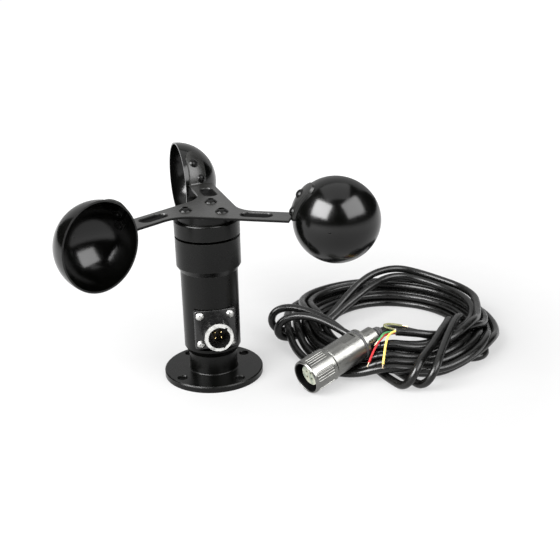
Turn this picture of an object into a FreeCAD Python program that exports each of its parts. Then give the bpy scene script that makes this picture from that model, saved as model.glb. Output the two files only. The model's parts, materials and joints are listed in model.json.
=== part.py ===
import FreeCAD, Part
import math
import os
import re

import Sketcher

# Cup anemometer: a flanged aluminium body with a four-pin panel socket, a three-cup rotor on two
# ball bearings, and its detached signal cable with a screwed plug.
# Frame: +Z up along the rotor axis, origin on that axis in the underside of the base flange,
# -Y towards the socket side.  Millimetres and degrees.

Vector = FreeCAD.Vector
UP = Vector(0, 0, 1)

# Driving dimensions: (name, value, what it is).
DIMENSIONS = [
    # base flange
    ("flange_radius", 30.3, "outer radius of the base flange"),
    ("flange_thick", 3.8, "thickness of the base flange"),
    ("flange_chamfer", 0.6, "bevel on the flange's top edge"),
    ("neck_radius", 14.7, "neck between the flange and the body"),
    ("neck_top", 16.0, "height of the neck's top, where the body seats"),
    ("neck_fillet", 1.0, "fillet between the neck and the flange"),
    ("spigot_length", 8.0, "spigot of the base that enters the body's bore"),
    ("base_cavity_radius", 7.5, "hollow inside the base spigot"),
    ("base_cavity_floor", 6.0, "height of the hollow's floor"),
    ("bolt_margin", 5.8, "distance of the bolt circle from the flange's edge"),
    ("bolt_hole_radius", 2.75, "base bolt holes"),
    ("bolt_bevel", 0.5, "bevel on the bolt holes' upper edge"),
    ("bolt_azimuth", 38.0, "direction of the first base bolt"),
    ("oring_section", 0.8, "section radius of the two O-rings"),
    # lower body
    ("body_radius", 17.15, "outer radius of the lower body"),
    ("body_bore", 11.5, "bore of the lower body"),
    ("body_height", 52.2, "height of the lower body"),
    ("body_chamfer_in", 2.0, "bevel under the body, inwards"),
    ("body_chamfer_up", 3.6, "bevel under the body, upwards"),
    ("board_drop", 16.2, "depth of the circuit board's ledge under the body's top"),
    ("collar_step", 2.7, "how much wider the bore is above the ledge, on the radius"),
    # bearing housing
    ("housing_step", 2.15, "how far the bearing housing stands out over the body"),
    ("cone_height", 3.4, "height of the cone under the housing"),
    ("housing_height", 17.4, "height of the housing above its cone"),
    ("housing_spigot", 10.7, "length of the housing's spigot inside the body"),
    ("weir_step", 3.5, "distance of the rain weir's outside from the bearing"),
    ("weir_wall", 1.6, "wall of the rain weir"),
    ("weir_height", 4.0, "height of the rain weir above the housing"),
    # bearings
    ("bearing_outer", 9.5, "outer radius of each ball bearing"),
    ("bearing_bore", 3.0, "bore radius of each ball bearing, and the shaft"),
    ("bearing_width", 6.0, "width of each ball bearing"),
    ("upper_bearing_drop", 8.0, "depth of the upper bearing's lower face under the housing's top"),
    ("lower_bearing_lift", 3.0, "height of the lower bearing above the spigot's bottom"),
    ("ring_inner_edge", 4.9, "outer radius of a bearing's inner ring"),
    ("ring_outer_edge", 7.4, "inner radius of a bearing's outer ring"),
    ("ball_radius", 1.7, "bearing balls"),
    ("ball_circle_radius", 6.15, "pitch radius of the balls"),
    ("ball_gap", 0.12, "free play between a ball and its groove"),
    ("cage_half_width", 0.55, "half of the cage's thickness"),
    ("circlip_thick", 1.0, "thickness of the housing circlip"),
    # rotor
    ("cap_step", 0.1, "how far the rotor cap stands out over the housing"),
    ("cap_gap", 1.5, "gap between the housing and the rotor cap"),
    ("cap_height", 9.3, "height of the cap from its rim to its shoulder"),
    ("cap_edge", 1.2, "rounded edge of the cap"),
    ("weir_gap", 2.0, "room round the weir in the cap's hollow"),
    ("cap_roof", 3.3, "thickness of the cap over its hollow"),
    ("boss_step", 1.9, "width of the shoulder round the cap's raised boss"),
    ("boss_height", 4.0, "height of the boss that carries the spider plate"),
    ("plate_thick", 1.5, "thickness of the spider plate"),
    ("shaft_overhang", 5.1, "how far the shaft reaches under the lower bearing"),
    ("cap_bore_depth", 8.0, "how far the shaft enters the cap's hub"),
    ("cap_hub_radius", 6.0, "hub of the cap around the shaft"),
    ("cap_screw_length", 9.0, "length of the screw that holds the cap"),
    ("cap_screw_radius", 1.5, "shank of the screw that holds the cap"),
    ("hub_screw_circle", 12.4, "radius of the three screws on the plate"),
    ("hub_screw_azimuth", 75.95, "direction of the first of those screws"),
    ("hub_screw_head", 4.0, "head radius of those screws"),
    ("hub_screw_shank", 1.5, "shank radius of those screws"),
    ("hub_screw_length", 8.0, "length of those screws under the head"),
    # spider plate
    ("arm_azimuth", -16.84, "direction of the first arm"),
    ("arm_outer_edge", 17.06, "straight outer edge of an arm, aside from its radius"),
    ("arm_inner_edge", 1.85, "inner edge of an arm, aside from its radius"),
    ("arm_length", 52.6, "length of the flat part of an arm, from the axis"),
    ("arm_root_radius", 17.0, "rounding between an arm and the next arm's edge"),
    ("arm_end_radius", 3.0, "rounding of the arm's flat end"),
    ("rib_start", 27.0, "first centre of the groove pressed into an arm"),
    ("rib_end", 37.6, "last centre of that groove"),
    ("rib_aside", 9.3, "groove's centre line, aside from the radius"),
    ("rib_radius", 5.5, "radius of the groove's round bottom"),
    ("rib_lift", 3.1, "height of the groove's centre line above the plate"),
    ("rib_wall", 1.3, "wall of the rib under the groove"),
    ("bend_radius", 1.2, "rounding inside the bend between an arm and its tab"),
    ("tab_thick", 1.4, "thickness of the tab on each cup"),
    ("tab_half_width", 5.8, "half width of the tab"),
    ("tab_rise", 27.0, "direction of the tab's middle, up from level"),
    ("tab_turn", 22.0, "direction of the tab's middle, aside from the arm"),
    ("tab_half_length", 13.4, "half length of the tab between its two end centres"),
    # cups
    ("cup_radius", 25.2, "outer radius of a cup"),
    ("cup_wall", 1.0, "wall of a cup"),
    ("cup_bite", 1.0, "how far an arm's flat would reach into its cup"),
    ("cup_drop", 3.3, "depth of the cup centres under the plate's top"),
    ("cup_screw_head", 2.9, "head radius of the cup screws"),
    ("cup_screw_shank", 1.45, "shank radius of the cup screws"),
    ("cup_nut_half", 2.7, "half of the cup nuts' width across flats"),
    ("cup_nut_thick", 2.3, "thickness of the cup nuts"),
    # socket
    ("socket_azimuth", -82.0, "direction that the socket faces"),
    ("socket_rise", 18.5, "height of the socket's axis above the neck"),
    ("flat_wall", 0.8, "wall between the body's bore and the milled flat"),
    ("flat_below", 0.6, "milled flat under the socket's plate"),
    ("flat_above", 1.0, "milled flat over the socket's plate"),
    ("socket_hole_radius", 8.1, "hole behind the socket"),
    ("plate_margin", 3.5, "margin of the socket's plate outside its screws"),
    ("plate_taller", 0.4, "how much taller than wide the socket's plate is"),
    ("socket_plate_thick", 2.4, "thickness of the socket's plate"),
    ("socket_plate_edge", 1.1, "rounding of the socket plate's front edge"),
    ("socket_gasket_thick", 0.5, "gasket behind the socket's plate"),
    ("screw_room", 0.4, "how far outside the barrel the socket's screws stand, on each axis"),
    ("socket_screw_head", 2.55, "head radius of the socket's screws"),
    ("socket_screw_shank", 1.2, "shank radius of the socket's screws"),
    ("barrel_radius", 8.6, "outer radius of the socket's threaded barrel"),
    ("barrel_bore", 6.4, "bore of the socket's barrel"),
    ("barrel_length", 13.2, "length of the barrel in front of the plate"),
    ("pin_circle_radius", 2.6, "pitch radius of the four pins"),
    ("pin_radius", 0.6, "contact pins"),
    ("pin_recess", 5.0, "how far the pins end behind the barrel's mouth"),
    # board
    ("board_slack", 0.3, "gap round the circuit board"),
    ("board_thick", 1.6, "thickness of the circuit board"),
    # plug and cable
    ("plug_front_x", 53.0, "centre of the plug's open end"),
    ("plug_front_y", -37.7, "centre of the plug's open end"),
    ("plug_azimuth", 33.0, "direction of the plug towards its cable"),
    ("plug_tilt", 12.0, "rise of the plug towards its cable"),
    ("nut_wall", 1.55, "wall of the coupling nut"),
    ("nut_play", 0.35, "play of the coupling nut over the socket's barrel"),
    ("nut_length", 17.5, "length of the coupling nut"),
    ("plug_radius", 9.7, "main radius of the plug body"),
    ("plug_body_end", 41.0, "rear end of the plug body, from its open end"),
    ("plug_seal_thick", 1.6, "rubber ring behind the plug body"),
    ("clamp_radius", 6.2, "radius of the rear clamp sleeve"),
    ("clamp_end", 55.0, "end of the clamp sleeve, from the open end"),
    ("insert_slack", 0.2, "gap between the plug's insert and the socket's bore"),
    ("cable_radius", 2.5, "radius of the cable's jacket"),
    ("coil_x", 119.0, "centre of the cable coil"),
    ("coil_y", 35.0, "centre of the cable coil"),
    ("coil_radius", 54.0, "middle radius of the coil"),
    ("coil_half_width", 16.0, "half width of the coil's bundle"),
    ("coil_half_height", 9.0, "half height of the coil's bundle"),
    ("wire_radius", 0.7, "radius of each stranded core with its cover"),
]

# Sizes that follow from the driving ones.
FOLLOWING = {
    "bolt_circle_radius": "flange_radius - bolt_margin",
    "body_top": "neck_top + body_height",
    "board_seat": "body_top - board_drop",
    "collar_radius": "body_bore + collar_step",
    "board_radius": "collar_radius - board_slack",
    "housing_radius": "body_radius + housing_step",
    "housing_cone_top": "body_top + cone_height",
    "housing_top": "housing_cone_top + housing_height",
    "housing_spigot_bottom": "body_top - housing_spigot",
    "weir_radius": "bearing_outer + weir_step",
    "upper_bearing_bottom": "housing_top - upper_bearing_drop",
    "lower_bearing_bottom": "housing_spigot_bottom + lower_bearing_lift",
    "shaft_bottom": "lower_bearing_bottom - shaft_overhang",
    "cap_radius": "housing_radius + cap_step",
    "cap_top": "housing_top + cap_gap + cap_height",
    "cap_cavity_radius": "weir_radius + weir_gap",
    "cap_cavity_top": "cap_top - cap_roof",
    "boss_radius": "cap_radius - boss_step",
    "plate_top": "cap_top + boss_height + plate_thick",
    "cup_circle_radius": "arm_length + cup_radius - cup_bite",
    "cup_height": "plate_top - cup_drop",
    "socket_height": "neck_top + socket_rise",
    "socket_flat": "body_bore + flat_wall",
    "socket_screw_spacing": "2 * (barrel_radius + screw_room)",
    "socket_plate_wide": "socket_screw_spacing + 2 * plate_margin",
    "socket_plate_high": "socket_plate_wide + plate_taller",
    "socket_flat_bottom": "socket_height - socket_plate_high / 2 - flat_below",
    "socket_flat_top": "socket_height + socket_plate_high / 2 + flat_above",
    "nut_bore": "barrel_radius + nut_play",
    "nut_radius": "nut_bore + nut_wall",
    "insert_radius": "barrel_bore - insert_slack",
}

FIT = 0.05           # radial clearance of parts that fit together
PLAY = 0.4           # clearance of parts that only pass each other
CUP_COUNT = 3
BALL_COUNT = 7

doc = FreeCAD.newDocument("Anemometer")
sheet = doc.addObject("Spreadsheet::Sheet", "Sizes")
nodes = {}


# ---------------------------------------------------------------- the sheet
def fill_sheet():
    """Write every driving dimension into the sheet, one row each."""
    for row, (name, size, meaning) in enumerate(DIMENSIONS, start=1):
        sheet.set(f"A{row}", meaning)
        sheet.set(f"B{row}", str(size))
        sheet.setAlias(f"B{row}", name)
    doc.recompute()


def spelled_out(text):
    """Put each following size's formula in its place until only driving sizes are left."""
    fuller = re.sub(r"\b[a-z][a-z_]+\b",
                    lambda name: f"({FOLLOWING[name[0]]})" if name[0] in FOLLOWING else name[0], text)
    return text if fuller == text else spelled_out(fuller)


def tied(text):
    """Turn a formula over dimension names into one over the sheet's cells."""
    return re.sub(r"\b([a-z][a-z_]+)\b(?!\()", r"Sizes.\1", spelled_out(str(text)))


def size(text):
    """Value of a formula over dimension names."""
    return float(sheet.evalExpression(tied(text)))


# ---------------------------------------------------------------- placements
def put(piece, x="0", y="0", z="0", axis=(0, 0, 1), angle="0"):
    """Bind a piece's placement to formulas: a turn about an axis, then a shift."""
    turn = f"rotation(vector({axis[0]}; {axis[1]}; {axis[2]}); {tied(angle)})"
    piece.setExpression("Placement", f"placement(vector({tied(x)}; {tied(y)}; {tied(z)}); {turn})")
    return piece


def turned_frame(azimuth):
    """Frame turned about the rotor axis."""
    return FreeCAD.Placement(Vector(), FreeCAD.Rotation(UP, azimuth))


def aimed_frame(origin, direction):
    """Frame at a point with its +Z along a direction."""
    return FreeCAD.Placement(origin, FreeCAD.Rotation(UP, direction))


# ---------------------------------------------------------------- primitives
def cylinder(name, radius, height, **place):
    piece = doc.addObject("Part::Cylinder", name)
    piece.setExpression("Radius", tied(radius))
    piece.setExpression("Height", tied(height))
    return put(piece, **place) if place else piece


def box(name, length, width, height, **place):
    piece = doc.addObject("Part::Box", name)
    piece.setExpression("Length", tied(length))
    piece.setExpression("Width", tied(width))
    piece.setExpression("Height", tied(height))
    return put(piece, **place)


def ball(name, radius, **place):
    piece = doc.addObject("Part::Sphere", name)
    piece.setExpression("Radius", tied(radius))
    return put(piece, **place) if place else piece


def ring(name, major, minor, **place):
    piece = doc.addObject("Part::Torus", name)
    piece.setExpression("Radius1", tied(major))
    piece.setExpression("Radius2", tied(minor))
    return put(piece, **place)


def cut(name, base, tools):
    """Base without each tool; several tools are joined first."""
    piece = doc.addObject("Part::Cut", name)
    piece.Base = base
    piece.Tool = tools[0] if len(tools) == 1 else fuse(f"{name}_tools", tools)
    return piece


def fuse(name, parts):
    piece = doc.addObject("Part::MultiFuse", name)
    piece.Shapes = parts
    return piece


def group(name, parts):
    """Separate solids that share one node."""
    piece = doc.addObject("Part::Compound", name)
    piece.Links = parts
    return piece


def keep(piece, label):
    """Give a finished sub-part its label and its file."""
    piece.Label = label
    nodes[label] = piece
    return piece


# ---------------------------------------------------------------- sketched bodies
def origin_plane(body, role):
    return next(feature for feature in body.Origin.OriginFeatures if feature.Role == role)


def outline(body, name, corners, plane="XZ_Plane"):
    """Closed sketch of straight edges whose corners are formulas over the dimensions."""
    sketch = body.newObject("Sketcher::SketchObject", name)
    sketch.AttachmentSupport = [(origin_plane(body, plane), "")]
    sketch.MapMode = "FlatFace"
    points = [Vector(size(across), size(along), 0) for across, along in corners]
    count = len(points)
    for index in range(count):
        edge = Part.LineSegment(points[index], points[(index + 1) % count])
        sketch.addGeometry(edge, False)
    for index in range(count):
        sketch.addConstraint(Sketcher.Constraint("Coincident", index, 2, (index + 1) % count, 1))
    for index, (across, along) in enumerate(corners):
        for kind, where, formula in (("DistanceX", points[index].x, across),
                                     ("DistanceY", points[index].y, along)):
            number = sketch.addConstraint(Sketcher.Constraint(kind, -1, 1, index, 1, where))
            sketch.setExpression(f"Constraints[{number}]", tied(formula))
    return sketch


def turned_body(name, corners):
    """Body of revolution about +Z from an outline in radius and height."""
    body = doc.addObject("PartDesign::Body", name)
    sketch = outline(body, f"{name}_profile", corners)
    turn = body.newObject("PartDesign::Revolution", f"{name}_turn")
    turn.Profile = sketch
    turn.ReferenceAxis = (sketch, ["V_Axis"])
    turn.Angle = 360
    doc.recompute()
    return body


def padded_body(name, corners, height):
    """Straight body standing on the XY plane from an outline."""
    body = doc.addObject("PartDesign::Body", name)
    sketch = outline(body, f"{name}_outline", corners, "XY_Plane")
    pad = body.newObject("PartDesign::Pad", f"{name}_pad")
    pad.Profile = sketch
    pad.setExpression("Length", tied(height))
    doc.recompute()
    return body


def edges_where(shape, test):
    """Names of the edges whose end points and middle all pass a test."""
    names = []
    for number, edge in enumerate(shape.Edges, start=1):
        middle = edge.valueAt((edge.FirstParameter + edge.LastParameter) / 2)
        spots = [vertex.Point for vertex in edge.Vertexes] + [middle]
        if all(test(spot) for spot in spots):
            names.append(f"Edge{number}")
    return names


def dressed(body, kind, name, test, amount):
    """Add a fillet or a chamfer on the tip's edges that pass a test."""
    tip = body.Tip
    feature = body.newObject(f"PartDesign::{kind}", name)
    feature.Base = (tip, edges_where(tip.Shape, test))
    feature.setExpression("Radius" if kind == "Fillet" else "Size", tied(amount))
    doc.recompute()
    return feature


def at_ring(radius, height, slack=0.02):
    """Test for points on one circle about the rotor axis."""
    return lambda spot: (abs(math.hypot(spot.x, spot.y) - radius) < slack
                         and abs(spot.z - height) < slack)


# ---------------------------------------------------------------- base
def build_base():
    """Flange with neck and spigot, four bolt holes, and its O-ring."""
    groove = "neck_top + spigot_length / 2"
    base = turned_body("base_flange", [
        ("0", "0"), ("flange_radius", "0"), ("flange_radius", "flange_thick"),
        ("neck_radius", "flange_thick"), ("neck_radius", "neck_top"),
        (f"body_bore - {FIT}", "neck_top"), (f"body_bore - {FIT}", f"{groove} - oring_section"),
        ("body_bore - 2 * oring_section", f"{groove} - oring_section"),
        ("body_bore - 2 * oring_section", f"{groove} + oring_section"),
        (f"body_bore - {FIT}", f"{groove} + oring_section"),
        (f"body_bore - {FIT}", "neck_top + spigot_length"),
        ("base_cavity_radius", "neck_top + spigot_length"),
        ("base_cavity_radius", "base_cavity_floor"), ("0", "base_cavity_floor")])
    dressed(base, "Fillet", "neck_root",
            at_ring(size("neck_radius"), size("flange_thick")), "neck_fillet")
    dressed(base, "Chamfer", "flange_edge",
            at_ring(size("flange_radius"), size("flange_thick")), "flange_chamfer")
    turns = [f"bolt_azimuth + {90 * corner}" for corner in range(4)]
    holes = [cylinder(f"bolt_hole_{corner}", "bolt_hole_radius", "flange_thick + 2",
                      x=f"bolt_circle_radius * cos({turn})",
                      y=f"bolt_circle_radius * sin({turn})", z="-1")
             for corner, turn in enumerate(turns, start=1)]
    bevels = []
    for corner, turn in enumerate(turns, start=1):
        bevel = doc.addObject("Part::Cone", f"bolt_bevel_{corner}")
        bevel.setExpression("Radius1", tied("bolt_hole_radius"))
        bevel.setExpression("Radius2", tied("bolt_hole_radius + bolt_bevel + 0.1"))
        bevel.setExpression("Height", tied("bolt_bevel + 0.1"))
        bevels.append(put(bevel, x=f"bolt_circle_radius * cos({turn})",
                          y=f"bolt_circle_radius * sin({turn})", z="flange_thick - bolt_bevel"))
    keep(cut("base_flange_drilled", base, holes + bevels), "base_flange")
    seal = ring("base_oring_ring", f"body_bore - oring_section - {FIT}", f"oring_section - {FIT}", z=groove)
    keep(seal, "base_oring")


# ---------------------------------------------------------------- body
def build_body():
    """Lower body with its milled flat for the socket, and the seal above it."""
    groove = "body_top - 4"
    tube = turned_body("body_blank", [
        ("body_bore", "neck_top"), ("body_radius - body_chamfer_in", "neck_top"),
        ("body_radius", "neck_top + body_chamfer_up"), ("body_radius", "body_top"),
        ("collar_radius", "body_top"), ("collar_radius", "board_seat"), ("body_bore", "board_seat")])
    flat = box("socket_flat_cut", "4 * body_radius", "body_radius",
               "socket_flat_top - socket_flat_bottom",
               x="-2 * body_radius", y="-socket_flat - body_radius", z="socket_flat_bottom")
    hole = cylinder("socket_hole_cut", "socket_hole_radius", "body_radius",
                    y="0", z="socket_height", axis=(1, 0, 0), angle="90")
    taps = [cylinder(f"socket_tap_{number}", f"socket_screw_shank + {FIT}", "4.6",
                     x=f"{side} * socket_screw_spacing / 2", y="-socket_flat + 4.5",
                     z=f"socket_height + {level} * socket_screw_spacing / 2",
                     axis=(1, 0, 0), angle="90")
            for number, (side, level) in enumerate(socket_corners(), start=1)]
    board_taps = [cylinder(f"board_tap_{number}", "0.85", "5", x=f"{board_screw_circle} * cos({turn})",
                           y=f"{board_screw_circle} * sin({turn})", z="board_seat - 4.5")
                  for number, turn in enumerate(board_screw_turns, start=1)]
    body = cut("lower_body_milled", tube, [flat, hole] + taps + board_taps)
    body.setExpression("Placement", "placement(vector(0; 0; 0); rotation(vector(0; 0; 1); "
                                    + tied("socket_azimuth + 90") + "))")
    keep(body, "lower_body")
    seal = ring("body_oring_ring", f"collar_radius - oring_section - {FIT}", f"oring_section - {FIT}",
                z=groove)
    keep(seal, "body_oring")


board_screw_circle = "(body_bore + collar_radius) / 2"
board_screw_turns = [30, 150, 270]


def socket_corners():
    """The four corner signs of the socket's screw pattern."""
    return [(side, level) for level in (-1, 1) for side in (-1, 1)]


# ---------------------------------------------------------------- housing and bearings
def build_housing():
    """Bearing housing with cone, rain weir and spigot, and the ring that holds the bearing."""
    seat = f"bearing_outer + {FIT}"
    snug = f"collar_radius - {FIT}"
    groove = "body_top - 4"
    top_seat = "upper_bearing_bottom + bearing_width"
    low_seat = "lower_bearing_bottom + bearing_width"
    housing = turned_body("bearing_housing_turned", [
        (seat, "housing_spigot_bottom"), (snug, "housing_spigot_bottom"),
        (snug, f"{groove} - oring_section"),
        ("collar_radius - 2.1 * oring_section", f"{groove} - oring_section"),
        ("collar_radius - 2.1 * oring_section", f"{groove} + oring_section"),
        (snug, f"{groove} + oring_section"), (snug, "body_top"), ("body_radius", "body_top"),
        ("housing_radius", "housing_cone_top"), ("housing_radius", "housing_top"),
        ("weir_radius", "housing_top"), ("weir_radius", "housing_top + weir_height"),
        ("weir_radius - weir_wall", "housing_top + weir_height"),
        ("weir_radius - weir_wall", f"{top_seat} + 2.2 * circlip_thick"),
        (seat, f"{top_seat} + 2.2 * circlip_thick"), (seat, f"{top_seat} + 1.1 * circlip_thick"),
        ("bearing_outer + 0.8", f"{top_seat} + 1.1 * circlip_thick"),
        ("bearing_outer + 0.8", top_seat), (seat, top_seat), (seat, "upper_bearing_bottom"),
        ("ring_outer_edge + 0.6", "upper_bearing_bottom"), ("ring_outer_edge + 0.6", low_seat),
        (seat, low_seat)])
    keep(housing, "bearing_housing")
    band = doc.addObject("Part::Cut", "circlip_band")
    band.Base = cylinder("circlip_outer", "bearing_outer + 0.7", "circlip_thick", z=top_seat)
    band.Tool = cylinder("circlip_inner", "bearing_outer - 1.1", "circlip_thick + 2",
                         z=f"{top_seat} - 1")
    gap = box("circlip_gap", "bearing_outer + 4", "6", "circlip_thick + 2", y="-3", z=f"{top_seat} - 1")
    keep(cut("circlip_open", band, [gap]), "housing_circlip")


def bearing_ring(name, bottom, inner, outer):
    """One ring of a ball bearing; the raceway is cut by a torus."""
    blank = turned_body(f"{name}_blank", [
        (inner, bottom), (outer, bottom), (outer, f"{bottom} + bearing_width"),
        (inner, f"{bottom} + bearing_width")])
    raceway = ring(f"{name}_raceway", "ball_circle_radius", "ball_radius + ball_gap",
                   z=f"{bottom} + bearing_width / 2", angle="30")
    return keep(cut(f"{name}_ring", blank, [raceway]), name)


def build_bearing(level):
    """Both rings, the balls and the cage of the bearing on one level."""
    bottom = f"{level}_bearing_bottom"
    middle = f"{bottom} + bearing_width / 2"
    bearing_ring(f"{level}_bearing_outer_ring", bottom, "ring_outer_edge", "bearing_outer")
    bearing_ring(f"{level}_bearing_inner_ring", bottom, "bearing_bore", "ring_inner_edge")
    turns = [360.0 * number / BALL_COUNT for number in range(BALL_COUNT)]
    balls = [ball(f"{level}_ball_{number}", "ball_radius", x=f"ball_circle_radius * cos({turn})",
                  y=f"ball_circle_radius * sin({turn})", z=middle)
             for number, turn in enumerate(turns, start=1)]
    keep(group(f"{level}_ball_set", balls), f"{level}_bearing_balls")
    band = turned_body(f"{level}_cage_band", [
        ("ball_circle_radius - cage_half_width", f"{middle} - 1.2"),
        ("ball_circle_radius + cage_half_width", f"{middle} - 1.2"),
        ("ball_circle_radius + cage_half_width", f"{middle} + 2.3"),
        ("ball_circle_radius - cage_half_width", f"{middle} + 2.3")])
    pockets = [ball(f"{level}_pocket_{number}", "ball_radius + ball_gap / 2",
                    x=f"ball_circle_radius * cos({turn})", y=f"ball_circle_radius * sin({turn})", z=middle)
               for number, turn in enumerate(turns, start=1)]
    keep(cut(f"{level}_cage_pocketed", band, pockets), f"{level}_bearing_cage")


# ---------------------------------------------------------------- rotor hub
def build_hub():
    """Shaft, spacer, retaining ring, magnet holder, cap, and the screws on the axis and plate."""
    low_face = "lower_bearing_bottom"
    high_face = "upper_bearing_bottom + bearing_width"
    shaft_top = f"{high_face} + cap_bore_depth"
    journal = f"bearing_bore - {FIT / 2}"
    shaft = turned_body("shaft_turned", [
        ("0", "shaft_bottom"), (journal, "shaft_bottom"), (journal, f"{low_face} - 1.15"),
        ("bearing_bore - 0.5", f"{low_face} - 1.15"), ("bearing_bore - 0.5", f"{low_face} - 0.1"),
        (journal, f"{low_face} - 0.1"), (journal, shaft_top),
        ("cap_screw_radius", shaft_top), ("cap_screw_radius", f"{shaft_top} - cap_screw_length + 1"),
        ("0", f"{shaft_top} - cap_screw_length + 1")])
    keep(shaft, "shaft")
    spacer = turned_body("bearing_spacer_turned", [
        (f"bearing_bore + {FIT}", f"{low_face} + bearing_width"),
        ("ring_inner_edge - 0.3", f"{low_face} + bearing_width"),
        ("ring_inner_edge - 0.3", "upper_bearing_bottom"),
        (f"bearing_bore + {FIT}", "upper_bearing_bottom")])
    keep(spacer, "bearing_spacer")
    clip = cut("shaft_clip_band",
               cylinder("shaft_clip_outer", "bearing_bore + 1.9", "0.9", z=f"{low_face} - 1.05"),
               [cylinder("shaft_clip_inner", "bearing_bore - 0.45", "2", z=f"{low_face} - 1.6"),
                box("shaft_clip_gap", "bearing_bore + 3", "3.4", "2", y="-1.7",
                    z=f"{low_face} - 1.6")])
    keep(clip, "shaft_circlip")
    build_magnets()
    shoulder = "cap_top"
    boss_top = "plate_top - plate_thick"
    low = "housing_top + cap_gap"
    cap = turned_body("rotor_cap_turned", [
        (f"bearing_bore + {FIT / 2}", high_face), ("ring_inner_edge - 0.2", high_face),
        ("ring_inner_edge - 0.2", f"{high_face} + 2.4"), ("cap_hub_radius", f"{high_face} + 2.4"),
        ("cap_hub_radius", "cap_cavity_top"), ("cap_cavity_radius", "cap_cavity_top"),
        ("cap_cavity_radius", low), ("cap_radius", low), ("cap_radius", shoulder),
        ("boss_radius", shoulder), ("boss_radius", boss_top), ("4.2", boss_top),
        ("4.2", f"{boss_top} - 3.2"), (f"cap_screw_radius + {FIT}", f"{boss_top} - 3.2"),
        (f"cap_screw_radius + {FIT}", shaft_top), (f"bearing_bore + {FIT / 2}", shaft_top)])
    dressed(cap, "Fillet", "cap_rounding", at_ring(size("cap_radius"), size(shoulder)), "cap_edge")
    taps = [cylinder(f"hub_tap_{number}", f"hub_screw_shank + {FIT}", "hub_screw_length",
                     x=f"hub_screw_circle * cos({turn})", y=f"hub_screw_circle * sin({turn})",
                     z=f"plate_top - hub_screw_length")
            for number, turn in enumerate(hub_screw_turns(), start=1)]
    keep(cut("rotor_cap_tapped", cap, taps), "rotor_cap")
    seat = f"{boss_top} - 3.2"
    centre = turned_body("cap_screw_turned", [
        ("0", f"{shaft_top} - cap_screw_length + 2"),
        (f"cap_screw_radius - {FIT}", f"{shaft_top} - cap_screw_length + 2"),
        (f"cap_screw_radius - {FIT}", seat), ("2.9", seat), ("2.9", f"{seat} + 2.4"),
        ("0", f"{seat} + 2.4")])
    recess = cylinder("cap_screw_recess", "1.2", "2", z=f"{seat} + 1")
    keep(cut("cap_screw_driven", centre, [recess]), "cap_screw")
    screws = [button_screw(f"hub_screw_{number}", "hub_screw_head", "hub_screw_shank",
                           "hub_screw_length - 0.5",
                           aimed_frame(Vector(size(f"hub_screw_circle * cos({turn})"),
                                              size(f"hub_screw_circle * sin({turn})"),
                                              size("plate_top")), UP))
              for number, turn in enumerate(hub_screw_turns(), start=1)]
    keep(group("hub_screw_set", screws), "hub_screws")


def hub_screw_turns():
    return [f"hub_screw_azimuth + {120 * number}" for number in range(3)]


def build_magnets():
    """Holder on the shaft's lower end with four magnets that the sensor reads."""
    top = "lower_bearing_bottom - 1.4"
    holder = turned_body("magnet_holder_turned", [
        (f"bearing_bore + {FIT / 2}", "shaft_bottom"), ("8", "shaft_bottom"), ("8", f"{top} - 0.9"),
        ("5", top), (f"bearing_bore + {FIT / 2}", top)])
    turns = [90 * number + 45 for number in range(4)]
    sockets = [cylinder(f"magnet_socket_{turn}", f"1.4 + {FIT}", "1.6", x=f"5.6 * cos({turn})",
                        y=f"5.6 * sin({turn})", z="shaft_bottom - 0.1") for turn in turns]
    keep(cut("magnet_holder_bored", holder, sockets), "magnet_holder")
    magnets = [cylinder(f"magnet_{turn}", "1.4", "1.5", x=f"5.6 * cos({turn})",
                        y=f"5.6 * sin({turn})", z="shaft_bottom") for turn in turns]
    keep(group("magnet_set", magnets), "magnets")


# ---------------------------------------------------------------- screws
def button_screw(name, head, shank, length, frame, drive="hex"):
    """Domed screw in its own frame: head above the seat, shank below it."""
    height = 0.56 * size(head)
    dome = Part.makeSphere((size(head) ** 2 + height ** 2) / (2 * height))
    dome.translate(Vector(0, 0, height - (size(head) ** 2 + height ** 2) / (2 * height)))
    solid = Part.makeCylinder(size(head), height + 1).common(dome)
    if drive == "hex":
        solid = solid.cut(prism(0.42 * size(head), 6, height + 1, 0.35 * height))
    else:
        for turn in (0, 90):
            blade = Part.makeBox(1.3 * size(head), 0.24 * size(head), height,
                                 Vector(-0.65 * size(head), -0.12 * size(head), 0.4 * height))
            blade.rotate(Vector(), UP, turn)
            solid = solid.cut(blade)
    stem = Part.makeCylinder(size(shank) - FIT, size(length), Vector(0, 0, -size(length)))
    piece = doc.addObject("Part::Feature", name)
    piece.Shape = solid.fuse(stem).removeSplitter()
    piece.Placement = frame
    return piece


def prism(half_flats, sides, height, bottom=0.0):
    """Upright prism with the given half width across flats."""
    reach = half_flats / math.cos(math.pi / sides)
    corners = [Vector(reach * math.cos(2 * math.pi * step / sides),
                      reach * math.sin(2 * math.pi * step / sides), bottom)
               for step in range(sides + 1)]
    return Part.Face(Part.makePolygon(corners)).extrude(Vector(0, 0, height))


# ---------------------------------------------------------------- spider plate
def arm_point(along, aside, arm):
    """Formulas for a point given along and aside from one arm's radius."""
    turn = f"arm_azimuth + {120 * arm}"
    return (f"({along}) * cos({turn}) - ({aside}) * sin({turn})",
            f"({along}) * sin({turn}) + ({aside}) * cos({turn})")


def tab_direction():
    """Unit vector, in a cup's frame, through the middle of its tab."""
    rise = math.radians(size("tab_rise"))
    turn = math.radians(size("tab_turn"))
    return Vector(-math.cos(rise) * math.cos(turn), -math.cos(rise) * math.sin(turn), math.sin(rise))


def cup_frame(arm):
    """Frame of a cup: origin in its centre, +X away from the rotor axis, +Z up."""
    turn = FreeCAD.Placement(Vector(), FreeCAD.Rotation(UP, size("arm_azimuth") + 120 * arm))
    shift = FreeCAD.Placement(Vector(size("cup_circle_radius"), 0, size("cup_height")),
                              FreeCAD.Rotation())
    return turn.multiply(shift)


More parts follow.
